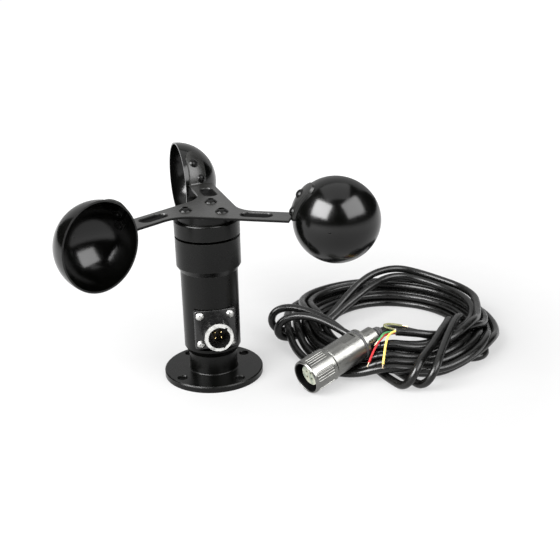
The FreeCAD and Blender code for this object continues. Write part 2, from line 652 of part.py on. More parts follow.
def tab_frame():
    """Frame on the cup's centre with +Z through the tab's middle and +X along the tab."""
    out = tab_direction()
    side = Vector(0, 1, 0).cross(out).normalize()
    along = Vector(-side.x, -side.y, -side.z)
    across = out.cross(along)
    matrix = FreeCAD.Matrix(along.x, across.x, out.x, 0, along.y, across.y, out.y, 0,
                            along.z, across.z, out.z, 0, 0, 0, 0, 1)
    return FreeCAD.Placement(matrix)


def tab_shape():
    """Strip of sheet that follows the cup's outside, round at both ends."""
    inner = Part.makeSphere(size("cup_radius") + FIT)
    outer = Part.makeSphere(size("cup_radius") + FIT + size("tab_thick"))
    reach, half = size("tab_half_length"), size("tab_half_width")
    strip = Part.makeBox(2 * reach - 2 * half, 2 * half, 60, Vector(-reach + half, -half, 0))
    for side in (-1, 1):
        strip = strip.fuse(Part.makeCylinder(half, 60, Vector(side * (reach - half), 0, 0)))
    strip.Placement = tab_frame()
    reach = 2 * size("cup_radius")
    level = size("plate_top - plate_thick - cup_height")
    below = Part.makeBox(2 * reach, 2 * reach, reach, Vector(-reach, -reach, level - reach))
    return outer.cut(inner).common(strip.removeSplitter()).cut(below)


def rounded_bends(shape):
    """Round the inside of the bend where each arm's flat turns up into its tab."""
    top = size("plate_top")
    bends = []
    for edge in shape.Edges:
        middle = edge.valueAt((edge.FirstParameter + edge.LastParameter) / 2)
        away = Vector(middle.x, middle.y, 0).normalize().multiply(0.3)
        beyond = middle.add(away).add(Vector(0, 0, 0.3))
        if abs(middle.z - top) < 0.01 and edge.Length > size("tab_half_width") and \
                shape.isInside(beyond, 0.01, True):
            bends.append(edge)
    if len(bends) != CUP_COUNT:
        raise RuntimeError(f"{len(bends)} bends found, and there are {CUP_COUNT} arms")
    return shape.makeFillet(size("bend_radius"), bends)


def arm_forms(name, radius):
    """Round-ended rods that lie along the arms, as large as a rib's inside or outside."""
    forms = []
    for arm in range(CUP_COUNT):
        turn = f"arm_azimuth + {120 * arm}"
        height = "plate_top + rib_lift"
        pieces = []
        for end, along in enumerate(("rib_start", "rib_end")):
            x, y = arm_point(along, "-rib_aside", arm)
            pieces.append(ball(f"{name}_end_{arm}_{end}", radius, x=x, y=y, z=height))
        x, y = arm_point("rib_start", "-rib_aside", arm)
        pieces.append(cylinder(f"{name}_rod_{arm}", radius, "rib_end - rib_start", x=x, y=y, z=height,
                               axis=(tied(f"-sin({turn})"), tied(f"cos({turn})"), 0), angle="90"))
        forms.append(fuse(f"{name}_{arm}", pieces))
    return forms


def build_spider():
    """Plate with three arms, each with a pressed rib and ending in a tab on its cup."""
    corners = []
    for arm in range(CUP_COUNT):
        corners.append(arm_point("arm_length", "-arm_outer_edge", arm))
        corners.append(arm_point("arm_length", "-arm_inner_edge", arm))
        corners.append(arm_point("(arm_outer_edge + arm_inner_edge / 2) / cos(30)",
                                 "-arm_inner_edge", arm))
    plate = padded_body("spider_blank", corners, "plate_thick")
    root = size("(arm_outer_edge + arm_inner_edge / 2) / cos(30)")
    dressed(plate, "Fillet", "arm_roots",
            lambda spot: abs(math.hypot(spot.x, spot.y) - math.hypot(root, size("arm_inner_edge"))) < 0.02,
            "arm_root_radius")
    put(plate, z="plate_top - plate_thick")
    above = box("rib_trim", "4 * arm_length", "4 * arm_length", "4 * rib_radius",
                x="-2 * arm_length", y="-2 * arm_length", z="plate_top - plate_thick / 2")
    bulges = cut("rib_bulges", fuse("rib_outsides", arm_forms("rib_outside", "rib_radius + rib_wall")),
                 [above])
    ribbed = fuse("spider_ribbed", [plate, bulges])
    tools = arm_forms("rib_inside", "rib_radius")
    for number, turn in enumerate(hub_screw_turns(), start=1):
        tools.append(cylinder(f"plate_hole_{number}", "hub_screw_shank + 0.15", "plate_thick + 2",
                              x=f"hub_screw_circle * cos({turn})",
                              y=f"hub_screw_circle * sin({turn})",
                              z="plate_top - plate_thick - 1"))
    flat = cut("spider_flat", ribbed, tools)
    doc.recompute()
    whole = flat.Shape.copy()
    for arm in range(CUP_COUNT):
        cup_space = Part.makeSphere(size("cup_radius") + FIT)
        cup_space.Placement = cup_frame(arm)
        whole = whole.cut(cup_space)
        tab = tab_shape()
        tab.Placement = cup_frame(arm)
        whole = whole.fuse(tab)
    whole = rounded_bends(whole.removeSplitter())
    for arm in range(CUP_COUNT):
        for _, seat in cup_screw_frames(arm):
            hole = Part.makeCylinder(size("cup_screw_shank") + 0.1, 8, Vector(0, 0, -4))
            hole.Placement = seat
            whole = whole.cut(hole)
    piece = doc.addObject("Part::Feature", "spider_plate_bent")
    piece.Shape = whole.removeSplitter()
    keep(piece, "spider_plate")


# ---------------------------------------------------------------- cups
def cup_screw_frames(arm):
    """Seats of a cup's two screws on the outside of the tab, +Z away from the cup."""
    frames = []
    radius = size("cup_radius") + FIT + size("tab_thick")
    for number, (along, aside) in enumerate(((-4.4, -2.0), (5.6, 2.0)), start=1):
        tilt = Vector(along, aside, math.sqrt(radius ** 2 - along ** 2 - aside ** 2))
        out = tab_frame().Rotation.multVec(tilt)
        seat = aimed_frame(out, out)
        frames.append((number, cup_frame(arm).multiply(seat)))
    return frames


def build_cup(arm):
    """Thin half-sphere that opens along its path, with its screws and nuts."""
    number = arm + 1
    bowl = doc.addObject("Part::Sphere", f"cup_bowl_{number}")
    bowl.setExpression("Radius", tied("cup_radius"))
    bowl.Angle1 = -90
    bowl.Angle2 = 0
    inside = ball(f"cup_inside_{number}", "cup_radius - cup_wall")
    frame = cup_frame(arm).multiply(
        FreeCAD.Placement(Vector(), FreeCAD.Rotation(Vector(1, 0, 0), -90)))
    bowl.Placement = frame
    inside.Placement = frame
    holes = []
    screws = []
    nuts = []
    reach = size("tab_thick") + FIT + size("cup_wall") + size("cup_nut_thick") + 1.2
    for place, seat in cup_screw_frames(arm):
        hole = doc.addObject("Part::Cylinder", f"cup_hole_{number}_{place}")
        hole.setExpression("Radius", tied("cup_screw_shank + 0.1"))
        hole.Height = 8
        hole.Placement = seat.multiply(FreeCAD.Placement(Vector(0, 0, -6), FreeCAD.Rotation()))
        holes.append(hole)
        lift = FreeCAD.Placement(Vector(0, 0, FIT), FreeCAD.Rotation())
        screws.append(button_screw(f"cup_screw_{number}_{place}", "cup_screw_head",
                                   "cup_screw_shank", reach, seat.multiply(lift), "cross"))
        nuts.append(cup_nut(f"cup_nut_{number}_{place}", seat))
    keep(cut(f"cup_{number}_drilled", bowl, [inside] + holes), f"cup_{number}")
    keep(group(f"cup_screw_set_{number}", screws), f"cup_screws_{number}")
    keep(group(f"cup_nut_set_{number}", nuts), f"cup_nuts_{number}")


def cup_nut(name, seat):
    """Hexagonal nut inside the cup, its corners just clear of the curved wall."""
    half = size("cup_nut_half")
    inner = size("cup_radius") - size("cup_wall")
    drop = inner - math.sqrt(inner ** 2 - (half / math.cos(math.pi / 6)) ** 2)
    below = size("tab_thick") + FIT + size("cup_wall") + drop + 0.02 + size("cup_nut_thick")
    body = prism(half, 6, size("cup_nut_thick"), -below)
    hole = Part.makeCylinder(size("cup_screw_shank"), 3 * size("cup_nut_thick"),
                             Vector(0, 0, -below - size("cup_nut_thick")))
    piece = doc.addObject("Part::Feature", name)
    piece.Shape = body.cut(hole)
    piece.Placement = seat
    return piece


# ---------------------------------------------------------------- socket
def facing(name, radius, start, length, across="0", up="0"):
    """Cylinder that points out of the socket, from a distance in front of the rotor axis."""
    return cylinder(name, radius, length, x=across, y=f"-({start})", z=f"socket_height + ({up})",
                    axis=(1, 0, 0), angle="90")


def socket_face(name, start, thick, grow="0"):
    """Square plate with rounded corners in front of the milled flat."""
    wide = f"(socket_plate_wide + 2 * ({grow}))"
    high = f"(socket_plate_high + 2 * ({grow}))"
    body = padded_body(name, [
        (f"-{wide} / 2", f"-{high} / 2"), (f"{wide} / 2", f"-{high} / 2"),
        (f"{wide} / 2", f"{high} / 2"), (f"-{wide} / 2", f"{high} / 2")], thick)
    half = size(f"{wide} / 2")
    dressed(body, "Fillet", f"{name}_corners", lambda spot: abs(abs(spot.x) - half) < 0.02
            and abs(abs(spot.y) - size(f"{high} / 2")) < 0.02, "1.6")
    return put(body, y=f"-({start})", z="socket_height", axis=(1, 0, 0), angle="90")


def turn_to_socket(piece):
    """Swing a piece modelled facing -Y to the socket's own direction."""
    doc.recompute()
    old = piece.Placement
    piece.setExpression("Placement", None)
    piece.Placement = turned_frame(size("socket_azimuth") + 90).multiply(old)
    return piece


def build_socket():
    """Panel socket: gasket, shell with threaded barrel, insert, four pins and four screws."""
    back = "socket_flat + socket_gasket_thick"
    front = f"{back} + socket_plate_thick"
    mouth = f"{front} + barrel_length"
    screw_spots = [(f"{side} * socket_screw_spacing / 2", f"{level} * socket_screw_spacing / 2")
                   for side, level in socket_corners()]

    gasket = socket_face("gasket_sheet", "socket_flat", "socket_gasket_thick", "-0.15")
    openings = [facing("gasket_hole", "socket_hole_radius", "socket_flat - 1", "4")]
    openings += [facing(f"gasket_screw_hole_{number}", "socket_screw_shank + 0.1", "socket_flat - 1",
                        "4", across, up) for number, (across, up) in enumerate(screw_spots, start=1)]
    keep(turn_to_socket(cut("gasket_cut", gasket, openings)), "socket_gasket")

    plate = socket_face("shell_plate", back, "socket_plate_thick")
    dressed(plate, "Fillet", "shell_plate_rounding", lambda spot: abs(
        spot.z - size("socket_plate_thick")) < 0.01, "socket_plate_edge")
    base_ring = facing("shell_base_ring", "barrel_radius + 0.9", back, "socket_plate_thick + 1.3")
    barrel = facing("shell_barrel", "barrel_radius - 0.35", back, "socket_plate_thick + barrel_length")
    threads = []
    for turn in range(7):
        threads.append(facing(f"shell_thread_{turn + 1}", "barrel_radius", f"{front} + {3.2 + 1.4 * turn}",
                              "0.75"))
    tail = facing("shell_tail", "socket_hole_radius - 0.3", "socket_flat - 6", "8")
    bore = facing("shell_bore", "barrel_bore", "0", "barrel_length * 3")
    keyways = []
    for number, turn in enumerate((50, -65), start=1):
        keyways.append(facing(f"shell_keyway_{number}", "0.95", f"{mouth} - 5", "8",
                              f"(barrel_bore + 0.2) * cos({turn})",
                              f"(barrel_bore + 0.2) * sin({turn})"))
    screw_holes = [facing(f"shell_screw_hole_{number}", "socket_screw_shank + 0.1", "socket_flat - 1",
                          "6", across, up)
                   for number, (across, up) in enumerate(screw_spots, start=1)]
    solid = fuse("shell_solid", [plate, base_ring, barrel, tail] + threads)
    keep(turn_to_socket(cut("shell_cut", solid, [bore] + keyways + screw_holes)), "socket_shell")

    insert = facing("insert_disc", f"barrel_bore - {FIT}", "socket_flat - 5", "5.5 + 3.0")
    pin_spots = [(f"pin_circle_radius * cos({turn})", f"pin_circle_radius * sin({turn})")
                 for turn in (45, 135, 225, 315)]
    pin_holes = [facing(f"insert_pin_hole_{number}", f"pin_radius + {FIT}", "socket_flat - 6", "12",
                        across, up) for number, (across, up) in enumerate(pin_spots, start=1)]
    keep(turn_to_socket(cut("insert_cut", insert, pin_holes)), "socket_insert")

    pins = []
    for number, (across, up) in enumerate(pin_spots, start=1):
        rod = facing(f"pin_rod_{number}", "pin_radius", "socket_flat - 8",
                     f"{mouth} - socket_flat + 8 - pin_recess", across, up)
        collar = facing(f"pin_cup_{number}", "pin_radius + 0.35", "socket_flat - 8", "2.8", across, up)
        tip = ball(f"pin_tip_{number}", "pin_radius", x=across, y=f"-({mouth} - pin_recess)",
                   z=f"socket_height + ({up})")
        pins.append(fuse(f"pin_{number}", [rod, collar, tip]))
    keep(turn_to_socket(group("pin_set", pins)), "socket_pins")

    screws = []
    for number, (side, level) in enumerate(socket_corners(), start=1):
        across = side * size("socket_screw_spacing") / 2
        up = size("socket_height") + level * size("socket_screw_spacing") / 2
        seat = aimed_frame(Vector(across, -size(front), up), Vector(0, -1, 0))
        screws.append(button_screw(f"socket_screw_{number}", "socket_screw_head",
                                   "socket_screw_shank", "5.8", seat, "cross"))
    keep(turn_to_socket(group("socket_screw_set", screws)), "socket_screws")


# ---------------------------------------------------------------- board
def build_board():
    """Circuit board on the body's ledge with its screws, sensor, parts and wires."""
    top = "board_seat + board_thick"
    disc = cylinder("board_disc", "board_radius", "board_thick", z="board_seat")
    holes = [cylinder(f"board_hole_{number}", "1.0", "board_thick + 2",
                      x=f"{board_screw_circle} * cos({turn})", y=f"{board_screw_circle} * sin({turn})",
                      z="board_seat - 1") for number, turn in enumerate(board_screw_turns, start=1)]
    slot = box("board_slot", "5", "3", "board_thick + 2", x="-2.5", y="board_radius - 2.5",
               z="board_seat - 1")
    keep(turn_to_socket(cut("board_cut", disc, holes + [slot])), "sensor_board")

    screws = []
    for number, turn in enumerate(board_screw_turns, start=1):
        spot = Vector(size(f"{board_screw_circle} * cos({turn})"),
                      size(f"{board_screw_circle} * sin({turn})"), size(top))
        screws.append(button_screw(f"board_screw_{number}", "1.25", "0.8", "5.4",
                                   aimed_frame(spot, UP), "cross"))
    keep(turn_to_socket(group("board_screw_set", screws)), "board_screws")

    sensor = box("sensor_case", "4", "3", "0.9", x="3.6", y="-1.5", z=top)
    keep(turn_to_socket(group("sensor_group", [sensor])), "hall_sensor")
    chip = box("chip_case", "5", "4", "0.9", x="-2.5", y="-7.5", z=top)
    passives = [box(f"passive_{number}", "1.6", "0.8", "0.6", x=f"{-6 + 3.0 * number}", y="5", z=top)
                for number in range(1, 4)]
    keep(turn_to_socket(group("chip_group", [chip] + passives)), "board_chips")
    header = box("header_block", "8", "3.4", "3", x="-4", y="3.2", z="board_seat - 3")
    keep(turn_to_socket(header), "board_header")
    build_socket_wires()


def build_socket_wires():
    """Four short wires from the board's header down to the socket's solder cups."""
    wires = []
    start_height = size("board_seat - 3")
    end_depth = -size("socket_flat - 8")
    for number, turn in enumerate((45, 135, 225, 315)):
        across = size(f"pin_circle_radius * cos({turn})")
        height = size("socket_height") + size(f"pin_circle_radius * sin({turn})")
        is_upper = height > size("socket_height")
        start = math.copysign(0.95 if is_upper else 2.85, across)
        depth = 4.6 if is_upper else 6.6
        route = [Vector(start, 4.9, start_height), Vector(start, 4.9, start_height - 3.5),
                 Vector((across + start) / 2, depth + 1.2, (start_height + height) / 2),
                 Vector(across, depth, height + 1.2), Vector(across, 1.2, height),
                 Vector(across, end_depth, height)]
        wires.append(cord_tube(f"socket_wire_{number + 1}", route, 0.45))
    keep(turn_to_socket(group("socket_wire_set", wires)), "socket_wires")


# ---------------------------------------------------------------- cords
def cord_path(points):
    """Straight runs joined by tangent arcs, each arc as large as its two runs allow."""
    edges = []
    radii = []
    start = points[0]
    for before, corner, after in zip(points, points[1:], points[2:]):
        come = corner.sub(before)
        leave = after.sub(corner)
        trim = 0.45 * min(come.Length, leave.Length)
        turn = come.getAngle(leave)
        radii.append(trim / math.tan(turn / 2))
        first = corner.sub(Vector(come).normalize().multiply(trim))
        last = corner.add(Vector(leave).normalize().multiply(trim))
        middle = first.add(last).multiply(0.5)
        inward = middle.sub(corner)
        sag = radii[-1] / math.cos(turn / 2) - radii[-1]
        crest = corner.add(inward.normalize().multiply(sag))
        edges.append(Part.LineSegment(start, first).toShape())
        edges.append(Part.Arc(first, crest, last).toShape())
        start = last
    edges.append(Part.LineSegment(start, points[-1]).toShape())
    return Part.Wire(edges), radii


def cord_tube(name, points, radius):
    """Round cord along a route of chosen points."""
    path, radii = cord_path(points)
    face = Part.Wire(Part.makeCircle(radius, points[0], points[1].sub(points[0])))
    solid = path.makePipeShell([face], True, True, 2)
    ratio = solid.Volume / (math.pi * radius ** 2 * path.Length)
    print(f"{name}: length {path.Length:.1f}, smallest radius {min(radii):.1f}, volume ratio {ratio:.4f}")
    piece = doc.addObject("Part::Feature", name)
    piece.Shape = solid
    return piece


# ---------------------------------------------------------------- plug and cable
def plug_frame():
    """Frame in the plug's open end with +Z along the plug towards its cable."""
    tilt = math.radians(size("plug_tilt"))
    turn = math.radians(size("plug_azimuth"))
    along = Vector(math.cos(tilt) * math.cos(turn), math.cos(tilt) * math.sin(turn), math.sin(tilt))
    foot = Vector(size("plug_front_x"), size("plug_front_y"), size("nut_radius") * math.cos(tilt) + 0.05)
    across = Vector(-math.sin(turn), math.cos(turn), 0)
    up = across.cross(along)
    matrix = FreeCAD.Matrix(up.x, across.x, along.x, foot.x, up.y, across.y, along.y, foot.y,
                            up.z, across.z, along.z, foot.z, 0, 0, 0, 1)
    return FreeCAD.Placement(matrix)


def lay_plug(piece):
    """Carry a plug piece from its own axis to where the plug lies."""
    doc.recompute()
    old = piece.Placement
    piece.setExpression("Placement", None)
    piece.Placement = plug_frame().multiply(old)
    return piece


def build_plug():
    """Screwed plug: coupling nut, body, insert, contacts, seal and clamp sleeve."""
    lip = "nut_length - 3.4"
    neck = "nut_bore - 0.75"
    nut = turned_body("nut_turned", [
        ("nut_bore + 0.5", "0"), ("nut_radius - 0.5", "0"), ("nut_radius", "0.8"),
        ("nut_radius", "nut_length - 0.6"), ("nut_radius - 0.5", "nut_length"),
        (f"{neck} + 0.08", "nut_length"), (f"{neck} + 0.08", lip), ("nut_bore", lip),
        ("nut_bore", "0.6")])
    flutes = []
    for patch in range(6):
        for line in range(4):
            turn = 60 * patch + 9 * line
            flutes.append(cylinder(f"flute_{patch}_{line}", "0.55", "nut_length - 5.0",
                                   x=f"(nut_radius + 0.12) * cos({turn})",
                                   y=f"(nut_radius + 0.12) * sin({turn})", z="2.2"))
    keep(lay_plug(cut("nut_fluted", nut, flutes)), "plug_nut")

    body_start = f"{lip} - 2.4"
    body = turned_body("plug_body_turned", [
        (f"insert_radius + {FIT}", body_start), ("nut_bore - 0.3", body_start),
        ("nut_bore - 0.3", f"{lip} - 0.2"), (neck, f"{lip} - 0.2"), (neck, "nut_length + 0.3"),
        ("plug_radius - 0.4", "nut_length + 0.3"), ("plug_radius", "nut_length + 0.7"),
        ("plug_radius", "plug_body_end - 0.4"), ("plug_radius - 0.4", "plug_body_end"),
        (f"insert_radius + {FIT}", "plug_body_end")])
    flats = [box(f"plug_flat_{side}", "4", "9", "9.5", x=f"{side} * (plug_radius + 1.35) - 2", y="-4.5",
                 z="plug_body_end - 11.5") for side in (-1, 1)]
    slot = cylinder("plug_slot", "0.9", "4", x="plug_radius * cos(-35)", y="plug_radius * sin(-35)",
                    z="nut_length + 3")
    keep(lay_plug(cut("plug_body_cut", body, flats + [slot])), "plug_body")

    insert = cylinder("plug_insert_rod", "insert_radius", "30", z="3")
    spots = [(f"pin_circle_radius * cos({turn})", f"pin_circle_radius * sin({turn})")
             for turn in (45, 135, 225, 315)]
    holes = [cylinder(f"plug_insert_hole_{number}", f"pin_radius + 0.4 + {FIT}", "40", x=x, y=y, z="0")
             for number, (x, y) in enumerate(spots, start=1)]
    key = cylinder("plug_insert_key", "1.0", "10", x="(insert_radius + 0.2) * cos(160)",
                   y="(insert_radius + 0.2) * sin(160)", z="1")
    keep(lay_plug(cut("plug_insert_cut", insert, holes + [key])), "plug_insert")

    contacts = []
    for number, (x, y) in enumerate(spots, start=1):
        sleeve = cylinder(f"contact_sleeve_{number}", "pin_radius + 0.4", "27", x=x, y=y, z="4")
        hollow = cylinder(f"contact_hollow_{number}", f"pin_radius + {FIT}", "12", x=x, y=y, z="3")
        contacts.append(cut(f"contact_{number}", sleeve, [hollow]))
    keep(lay_plug(group("contact_set", contacts)), "plug_contacts")

    seal = turned_body("plug_seal_turned", [
        (f"insert_radius + {FIT}", "plug_body_end"), ("plug_radius - 0.25", "plug_body_end"),
        ("plug_radius - 0.25", "plug_body_end + plug_seal_thick"),
        (f"insert_radius + {FIT}", "plug_body_end + plug_seal_thick")])
    keep(lay_plug(seal), "plug_seal")

    rim = "plug_body_end + plug_seal_thick"
    clamp = turned_body("plug_clamp_turned", [
        (f"cable_radius + {FIT}", rim), ("plug_radius", rim), ("plug_radius", f"{rim} + 1.6"),
        ("clamp_radius + 0.5", f"{rim} + 2.4"), ("clamp_radius", f"{rim} + 3.2"),
        ("clamp_radius", "clamp_end - 0.8"), ("clamp_radius - 0.7", "clamp_end"),
        (f"cable_radius + {FIT}", "clamp_end")])
    keep(lay_plug(clamp), "plug_clamp")


def plug_spot(along):
    """Point on the plug's axis, at a distance behind its open end."""
    return plug_frame().multVec(Vector(0, 0, along))


# Routes of the cable's loose ends.  The points are chosen by hand.
LEAD_ROUTE = [(115.0, 4.5, 20.0), (127.5, 9.5, 14.2), (140.0, 12.0, 9.2), (152.0, 16.5, 6.8),
              (161.5, 25.5, 8.0)]
TAIL_ROUTE = [(112.8, -5.6, 22.2), (126.0, -7.4, 21.8), (140.0, -5.4, 21.0), (152.5, 2.0, 19.8),
              (162.0, 12.8, 17.2), (168.0, 25.0, 13.5)]
WIRE_ROUTES = {
    "wire_red": [(106.2, -9.8, 22.8), (101.4, -16.2, 21.0), (97.8, -22.0, 18.4), (94.9, -27.8, 16.2),
                 (92.9, -32.0, 14.9)],
    "wire_yellow": [(107.6, -10.8, 23.8), (104.4, -18.0, 21.4), (101.7, -27.0, 18.5),
                    (99.2, -36.0, 15.6)],
    "wire_green": [(107.8, -7.0, 24.6), (103.6, -9.2, 26.8), (100.0, -10.2, 29.4)],
    "wire_brown": [(108.0, -4.8, 25.0), (104.4, -3.4, 27.0), (103.4, 0.8, 27.8), (106.8, 4.0, 27.6),
                   (112.4, 3.6, 26.4), (118.4, 1.6, 25.2)],
}
WIRE_OFFSETS = {"wire_red": (-0.8, -0.8), "wire_yellow": (-0.8, 0.8), "wire_green": (0.8, -0.8),
                "wire_brown": (0.8, 0.8)}
STRIP_LENGTH = 4.0


def build_cable():
    """Coil of cable with its lead to the plug, and its free end with four stripped wires."""
    coil = ring_of_ellipse(size("coil_radius"), size("coil_half_width"), size("coil_half_height"))
    coil.translate(Vector(size("coil_x"), size("coil_y"), size("coil_half_height")))
    saddle = Part.makeCylinder(size("nut_radius") + PLAY, 90, Vector(0, 0, -10))
    reach = size("nut_radius") + PLAY
    saddle = saddle.fuse(Part.makeBox(40, 2 * reach, 90, Vector(0, -reach, -10)))
    saddle.Placement = plug_frame()
    piece = doc.addObject("Part::Feature", "coil_bundle")
    piece.Shape = coil.cut(saddle)
    keep(piece, "cable_coil")

    lead = [plug_spot(size("clamp_end") + step) for step in (-7, 7)]
    lead += [Vector(*point) for point in LEAD_ROUTE]
    keep(cord_tube("lead_tube", lead, size("cable_radius")), "cable_lead")
    tail = [Vector(*point) for point in TAIL_ROUTE]
    keep(cord_tube("tail_tube", tail, size("cable_radius")), "cable_tail")

    back = tail[0].sub(tail[1]).normalize()
    side = back.cross(UP).normalize()
    over = side.cross(back)
    ends = []
    for label, route in WIRE_ROUTES.items():
        left, high = WIRE_OFFSETS[label]
        exit_point = tail[0].add(Vector(side).multiply(left)).add(Vector(over).multiply(high))
        points = [exit_point] + [Vector(*point) for point in route]
        keep(cord_tube(f"{label}_tube", points, size("wire_radius")), label)
        way = points[-1].sub(points[-2]).normalize()
        tip = Part.makeCylinder(0.6 * size("wire_radius"), STRIP_LENGTH, points[-1], way)
        end = doc.addObject("Part::Feature", f"{label}_end")
        end.Shape = tip
        ends.append(end)
    keep(group("wire_end_set", ends), "wire_tips")


def ring_of_ellipse(major, half_width, half_height):
    """Closed ring whose section is an ellipse lying flat."""
    section = Part.Ellipse(Vector(half_width, 0, 0), Vector(0, half_height, 0), Vector()).toShape()
    section.rotate(Vector(), Vector(1, 0, 0), 90)
    section.translate(Vector(major, 0, 0))
    return Part.Face(Part.Wire(section)).revolve(Vector(), UP, 360)


# ---------------------------------------------------------------- all of it
def build_all():
    fill_sheet()
    build_base()
    build_body()
    build_housing()
    build_bearing("upper")
    build_bearing("lower")
    build_hub()
    build_spider()
    for arm in range(CUP_COUNT):
        build_cup(arm)
    build_socket()
    build_board()
    build_plug()
    build_cable()
    doc.recompute()


def check_all():
    """Stop before writing if any object failed or any sub-part's shape is unsound."""
    for piece in doc.Objects:
        if any(word in piece.State for word in ("Invalid", "Error")):
            raise RuntimeError(f"{piece.Label} failed: {piece.State}")
    for label, piece in nodes.items():
        if piece.Shape.isNull() or not piece.Shape.isValid():
            raise RuntimeError(f"{label} has no sound shape")


def write_all():
    os.makedirs("parts", exist_ok=True)
    for label, piece in nodes.items():
        piece.Shape.exportStep(f"parts/{label}.step")
        solids = piece.Shape.Solids
        print(f"{label}: {len(solids)} solids, {piece.Shape.Volume:.1f} mm3")


build_all()
check_all()
write_all()
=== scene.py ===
"""Looks of a three-cup wind speed sensor and its detached, coiled signal cable."""

import json
import logging
import math
from dataclasses import dataclass, field
from enum import Enum
import bpy
from mathutils import Matrix, Vector


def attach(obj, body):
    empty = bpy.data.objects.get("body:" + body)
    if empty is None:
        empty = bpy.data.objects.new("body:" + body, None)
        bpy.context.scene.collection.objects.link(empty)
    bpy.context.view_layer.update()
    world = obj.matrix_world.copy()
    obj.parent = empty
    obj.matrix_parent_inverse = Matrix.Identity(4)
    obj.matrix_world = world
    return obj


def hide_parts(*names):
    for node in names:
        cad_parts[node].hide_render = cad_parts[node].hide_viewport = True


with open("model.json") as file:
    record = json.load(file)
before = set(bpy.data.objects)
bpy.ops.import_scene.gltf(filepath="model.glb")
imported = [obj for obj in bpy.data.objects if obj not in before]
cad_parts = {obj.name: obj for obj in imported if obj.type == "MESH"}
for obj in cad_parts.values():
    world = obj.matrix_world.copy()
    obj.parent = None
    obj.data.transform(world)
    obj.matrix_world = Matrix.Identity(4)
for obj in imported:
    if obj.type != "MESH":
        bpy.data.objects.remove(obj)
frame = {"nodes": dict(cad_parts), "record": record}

LOG = logging.getLogger("wind_sensor")
MM = 0.001
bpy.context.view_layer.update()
BASE = "base"

Point = tuple[float, float, float]
Colour = tuple[float, float, float]
Spot = tuple[float, float]


class Rule(Enum):
    """How two values are put together."""

    ADD = "ADD"
    TIMES = "MULTIPLY"
    LARGER = "MAXIMUM"


class Finish(Enum):
    """The finishes that the pieces wear."""

    PAINT = "gloss paint"
    CUP_PAINT = "glossier paint of the cups"
    PLATE = "satin paint"
    NICKEL = "plated metal"
    # plated metal whose inner hole is darkened with painted shade
    NUT = "plated metal with a dark bore"
    BOLT = "bright screws"
    STEEL = "steel"
    ALUMINIUM = "aluminium"
    SHELL = "black plating"
    GOLD = "gold plating"
    COPPER = "tinned copper"
    RUBBER = "rubber"
    PLASTIC = "black plastic"
    IVORY = "ivory plastic"
    BOARD = "green board"
    JACKET = "cable jacket"
    FILLER = "cable filler"
    RED = "red core cover"
    YELLOW = "yellow core cover"
    GREEN = "green core cover"
    BROWN = "brown core cover"


@dataclass(frozen=True)
class Axis:
    """A line that a round part is turned about: a point on it in metres and its direction."""

    start: Point
    way: Point


PLUG_AXIS = Axis((0.0530, -0.0377, 0.01032), (0.82034, 0.53274, 0.20791))
SOCKET_AXIS = Axis((0.0, 0.0, 0.0345), (0.13917, -0.99027, 0.0))
ROTOR_AXIS = Axis((0.0, 0.0, 0.0), (0.0, 0.0, 1.0))


def metres(points: list[Point]) -> list[Vector]:
    """Millimetre points as vectors in metres."""
    return [Vector(point) * MM for point in points]


def smooth(share: float) -> float:
    """A share from 0 to 1 eased in and out."""
    share = min(1.0, max(0.0, share))
    return share * share * (3 - 2 * share)


def between(first: Spot, second: Spot, share: float) -> Spot:
    """The point at that share of the way from the first to the second."""
    return (first[0] + share * (second[0] - first[0]), first[1] + share * (second[1] - first[1]))


def wear(piece: bpy.types.Object, look: bpy.types.Material) -> None:
    """Give a piece one material in place of any that it has."""
    piece.data.materials.clear()
    piece.data.materials.append(look)


def standing(spot: Vector, way: Vector) -> Matrix:
    """The place of a piece that was made upright at the origin and points along a direction."""
    return Matrix.Translation(spot) @ way.to_track_quat("Z", "Y").to_matrix().to_4x4()


# ---------------------------------------------------------------- finishes


